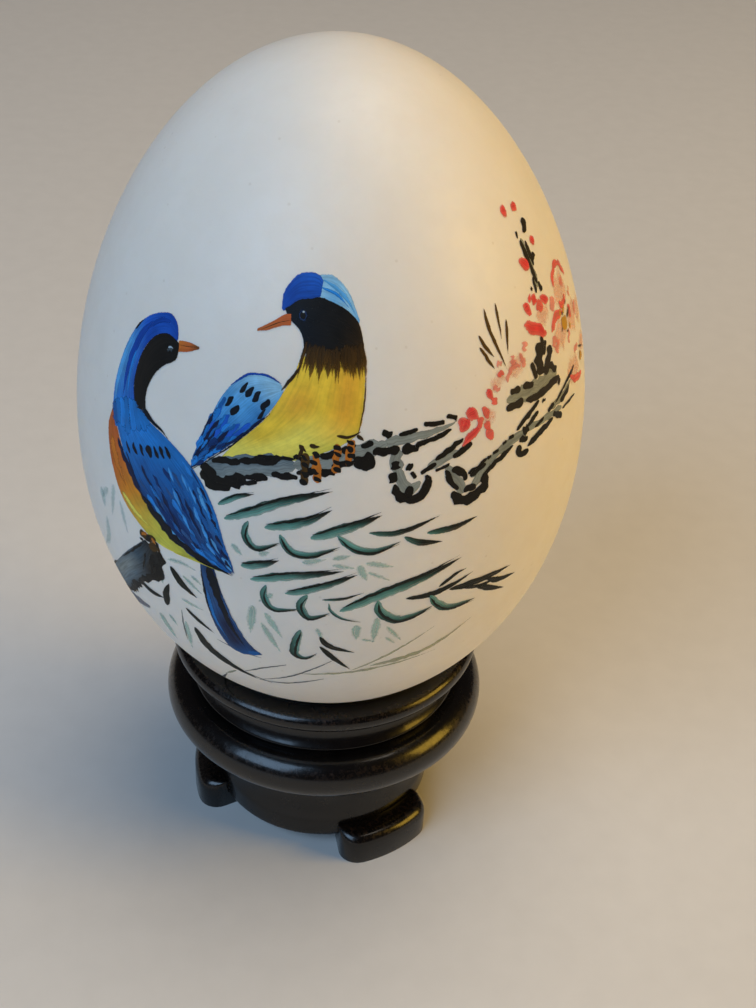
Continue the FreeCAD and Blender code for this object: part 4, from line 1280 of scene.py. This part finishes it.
def pale_leaves(paints):
    """Leaves behind the others: the same colours let down with water."""
    pale = PaintLayer("pale_leaves", 62)
    draw(pale, "leaf", "pale_teal", 0, 0.06, [(0.6, (-35.9, -4.1), (-32, -3.7), (-28, -4)),
        (0.6, (-29.9, -4.9), (-27.3, -5.9)), (0.6, (-32.2, -5.4), (-27.3, -7.3)),
        (0.6, (-33.7, -9.4), (-27.6, -9.9)), (0.7, (-39.1, -6.8), (-38.4, -8.5)),
        (1.2, (-43.3, -14.9), (-42.9, -17.5), (-42, -20.2)),
        (0.8, (-34.1, -13.4), (-35, -16.5), (-36.6, -20)), (0.7, (-39.6, -13.8), (-37.9, -15.7)),
        (0.7, (-19.9, 1.3), (-17.3, -0.1)), (0.7, (-14.2, 0.5), (-11.5, 1.1)),
        (0.7, (-5.3, 0.2), (-0.1, 0.8)), (0.7, (0.8, 0.8), (4.8, 1.3)), (0.6, (0.8, 0.1), (5.8, -0.4)),
        (0.9, (6.2, 0.1), (8.2, -2.2)), (0.7, (7.5, 0.3), (13.9, -0.6)), (0.5, (8.1, -0.9), (13.2, -2.4)),
        (1.0, (-15.6, -6.6), (-16.8, -11.5)), (0.8, (-13.1, -7.4), (-9.4, -11.4)),
        (0.8, (-14.1, -9.1), (-10.1, -14.1)), (1.0, (6.5, -8.5), (6.8, -11.2)),
        (0.9, (10.9, -7.5), (10.6, -12.0)), (0.5, (7.8, -11), (11.2, -11.8)),
        (0.6, (13.1, -9.2), (17.2, -12.2)), (0.5, (13.1, -11.1), (16, -12.6)),
        (0.8, (-11.0, -4.4), (-14.4, -6.0)), (0.6, (-2.0, -9.0), (-0.4, -11.2))], 0.28, 1.25)
    draw(pale, "leaf", "faint_teal", 0, 0.06, [(1.5, (-58, -0.6), (-57.5, -3.4)),
        (1.0, (-52, 1.6), (-54, -3.4)), (1.2, (-57, -4.3), (-59, -8), (-65, -11.4)),
        (0.9, (-50, 0.1), (-48, -4.2)), (0.7, (-47.5, 1.3), (-46, -0.2)),
        (1.0, (-54.6, 0.2), (-58.6, -2.2)), (1.3, (-70, -9.5), (-76, -11.5), (-82, -12)),
        (1.2, (-78, -14), (-84, -15.5), (-88, -16)), (0.9, (-66, -12.8), (-72, -14.4), (-76, -14.6)),
        (1.2, (-70.5, -29), (-62, -27.6), (-54, -28.2))], 0.4, 1.1)
    draw(pale, "leaf", "violet_grey", 0, 0.15,
         [(1.9, (-47.5, -15.4), (-55, -17.2), (-62, -19.4), (-69, -23.4)),
          (0.8, (-60, -26.2), (-53, -27.2), (-46, -27.4))], 0.3)
    pale.make(paints["mist"])


def bamboo_stems(paints):
    """Thin arching stems, grey and olive."""
    stems = PaintLayer("bamboo_stems", 63)
    draw(stems, "line", "stem_grey", 1, 0.2, [(0.34, (-9.1, -16.6), (-15.7, -18.5), (-20.9, -20.5)),
        (0.36, (-17.6, -22.1), (-9.6, -21.5), (0, -19.4)),
        (0.3, (-17.6, -22), (-8.1, -19.2), (2.3, -14.8)), (0.3, (-26, -14.5), (-20, -15.6), (-15, -16)),
        (0.36, (-28, -18.4), (-21.4, -20.6), (-14, -22.3)), (0.3, (-36.4, -18), (-34.4, -11.5)),
        (0.5, (-28.4, -23.8), (-38, -30.5), (-48, -35.0)),
        (0.34, (-62, -26.5), (-50, -25.8), (-42, -27.2))], 0.08)
    draw(stems, "leaf", "olive_wash", 1, 0.2,
         [(0.6, (-5.8, -18.4), (6.4, -17.7), (20, -16.5), (27.4, -15.8)),
          (0.5, (6.2, -17.4), (14, -14.8), (25, -10.8)), (0.8, (10.6, -16.6), (24.6, -15), (35, -11.6)),
          (0.45, (-23.6, -21.1), (-29, -23.9))], 0.12)
    stems.make(paints["wash"])


def painting():
    """All the paint, one piece for each part of the picture."""
    paints = {
        "blue": brush_paint("blue_gouache", 0.16, 0.20, 0.06, 0.55, 0.22),
        "yellow": brush_paint("yellow_gouache", 0.30, 0.06, 0.06, 0.58, 0.22),
        "ochre": brush_paint("ochre_gouache", 0.18, 0.14, 0.05, 0.55, 0.22),
        "red": brush_paint("red_gouache", 0.20, 0.12, 0.20, 0.55, 0.22),
        "blush": brush_paint("rose_watercolour", 0.60, 0.10, 0.25, 0.50, 0.30, 0.95),
        "ink": brush_paint("carbon_ink", 0.14, 0.25, 0.06, 0.52, 0.20),
        "leaf": brush_paint("green_ink", 0.13, 0.25, 0.20, 0.52, 0.22),
        "mist": brush_paint("teal_watercolour", 0.22, 0.12, 0.30, 0.50, 0.30, 0.9),
        "wash": brush_paint("grey_ink_wash", 0.20, 0.22, 0.12, 0.52, 0.25),
    }
    for part in (left_bird_front, left_bird_head, left_bird_wing, left_bird_tail, right_bird_front,
                 right_bird_head, right_bird_wing, right_bird_toes, stump_wood, stump_bark, branch_core,
                 branch_bark, fine_twigs, petals, blush, stamens, bamboo_leaves, pale_leaves,
                 bamboo_stems):
        part(paints)


# ---------------------------------------------------------------- the studio
def studio():
    """A pale floor and soft light."""
    deselect_all()
    bpy.ops.mesh.primitive_plane_add(size=3.0)
    floor = bpy.context.view_layer.objects.active
    floor.name = "studio_floor"
    floor.data.materials.append(pale_backdrop())

    world = bpy.data.worlds.new("studio_air")
    bpy.context.scene.world = world
    world.use_nodes = True
    backdrop = world.node_tree.nodes["Background"]
    backdrop.inputs["Color"].default_value = linear("#ffeeea")
    backdrop.inputs["Strength"].default_value = 0.05

    soft_light("cool_window", (-0.42, -0.48, 0.55), (0, 0, 0.06), 0.50, 3.75, "#b3d8ff")
    soft_light("warm_lamp", (0.50, -0.10, 0.26), (0, 0, 0.055), 0.26, 1.5, "#ffcc50")
    soft_light("ceiling", (0.12, 0.02, 0.80), (0, 0, 0.06), 0.50, 2.8, "#fff2e0")


def soft_light(name, place, target, size, power, colour):
    """A square soft box facing its target."""
    lamp = bpy.data.lights.new(name, "AREA")
    lamp.size = size
    lamp.energy = power
    lamp.color = linear(colour)[:3]
    lit = bpy.data.objects.new(name, lamp)
    lit.location = place
    lit.rotation_mode = "QUATERNION"
    lit.rotation_quaternion = (Vector(target) - Vector(place)).to_track_quat("-Z", "Y")
    bpy.context.scene.collection.objects.link(lit)


CAMERA_PLACE = Vector((0, -0.15633, 0.16019))
CAMERA_TARGET = Vector((0.00594, 0, 0.04572))
CAMERA_ROLL = 2.8           # degrees
CAMERA_LENS, CAMERA_SENSOR = 57.14, 36
NEAREST_SEEN = 0.01


def aim_camera():
    """The camera stands in front and above, turned a little about its line of sight."""
    camera = bpy.data.cameras.new("camera")
    camera.lens = CAMERA_LENS
    camera.sensor_width = CAMERA_SENSOR
    camera.clip_start = NEAREST_SEEN
    eye = bpy.data.objects.new("camera", camera)
    look = (CAMERA_TARGET - CAMERA_PLACE).to_track_quat("-Z", "Y").to_matrix()
    turn = look @ Matrix.Rotation(math.radians(CAMERA_ROLL), 3, "Z")
    eye.matrix_world = Matrix.Translation(CAMERA_PLACE) @ turn.to_4x4()
    bpy.context.scene.collection.objects.link(eye)
    bpy.context.scene.camera = eye
    bpy.context.scene.view_settings.view_transform = "Standard"


make_shell(eggshell())
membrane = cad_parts["shell_membrane"]
membrane.data.materials.clear()
membrane.data.materials.append(dried_membrane())
make_stand(black_lacquer())
painting()
studio()
aim_camera()
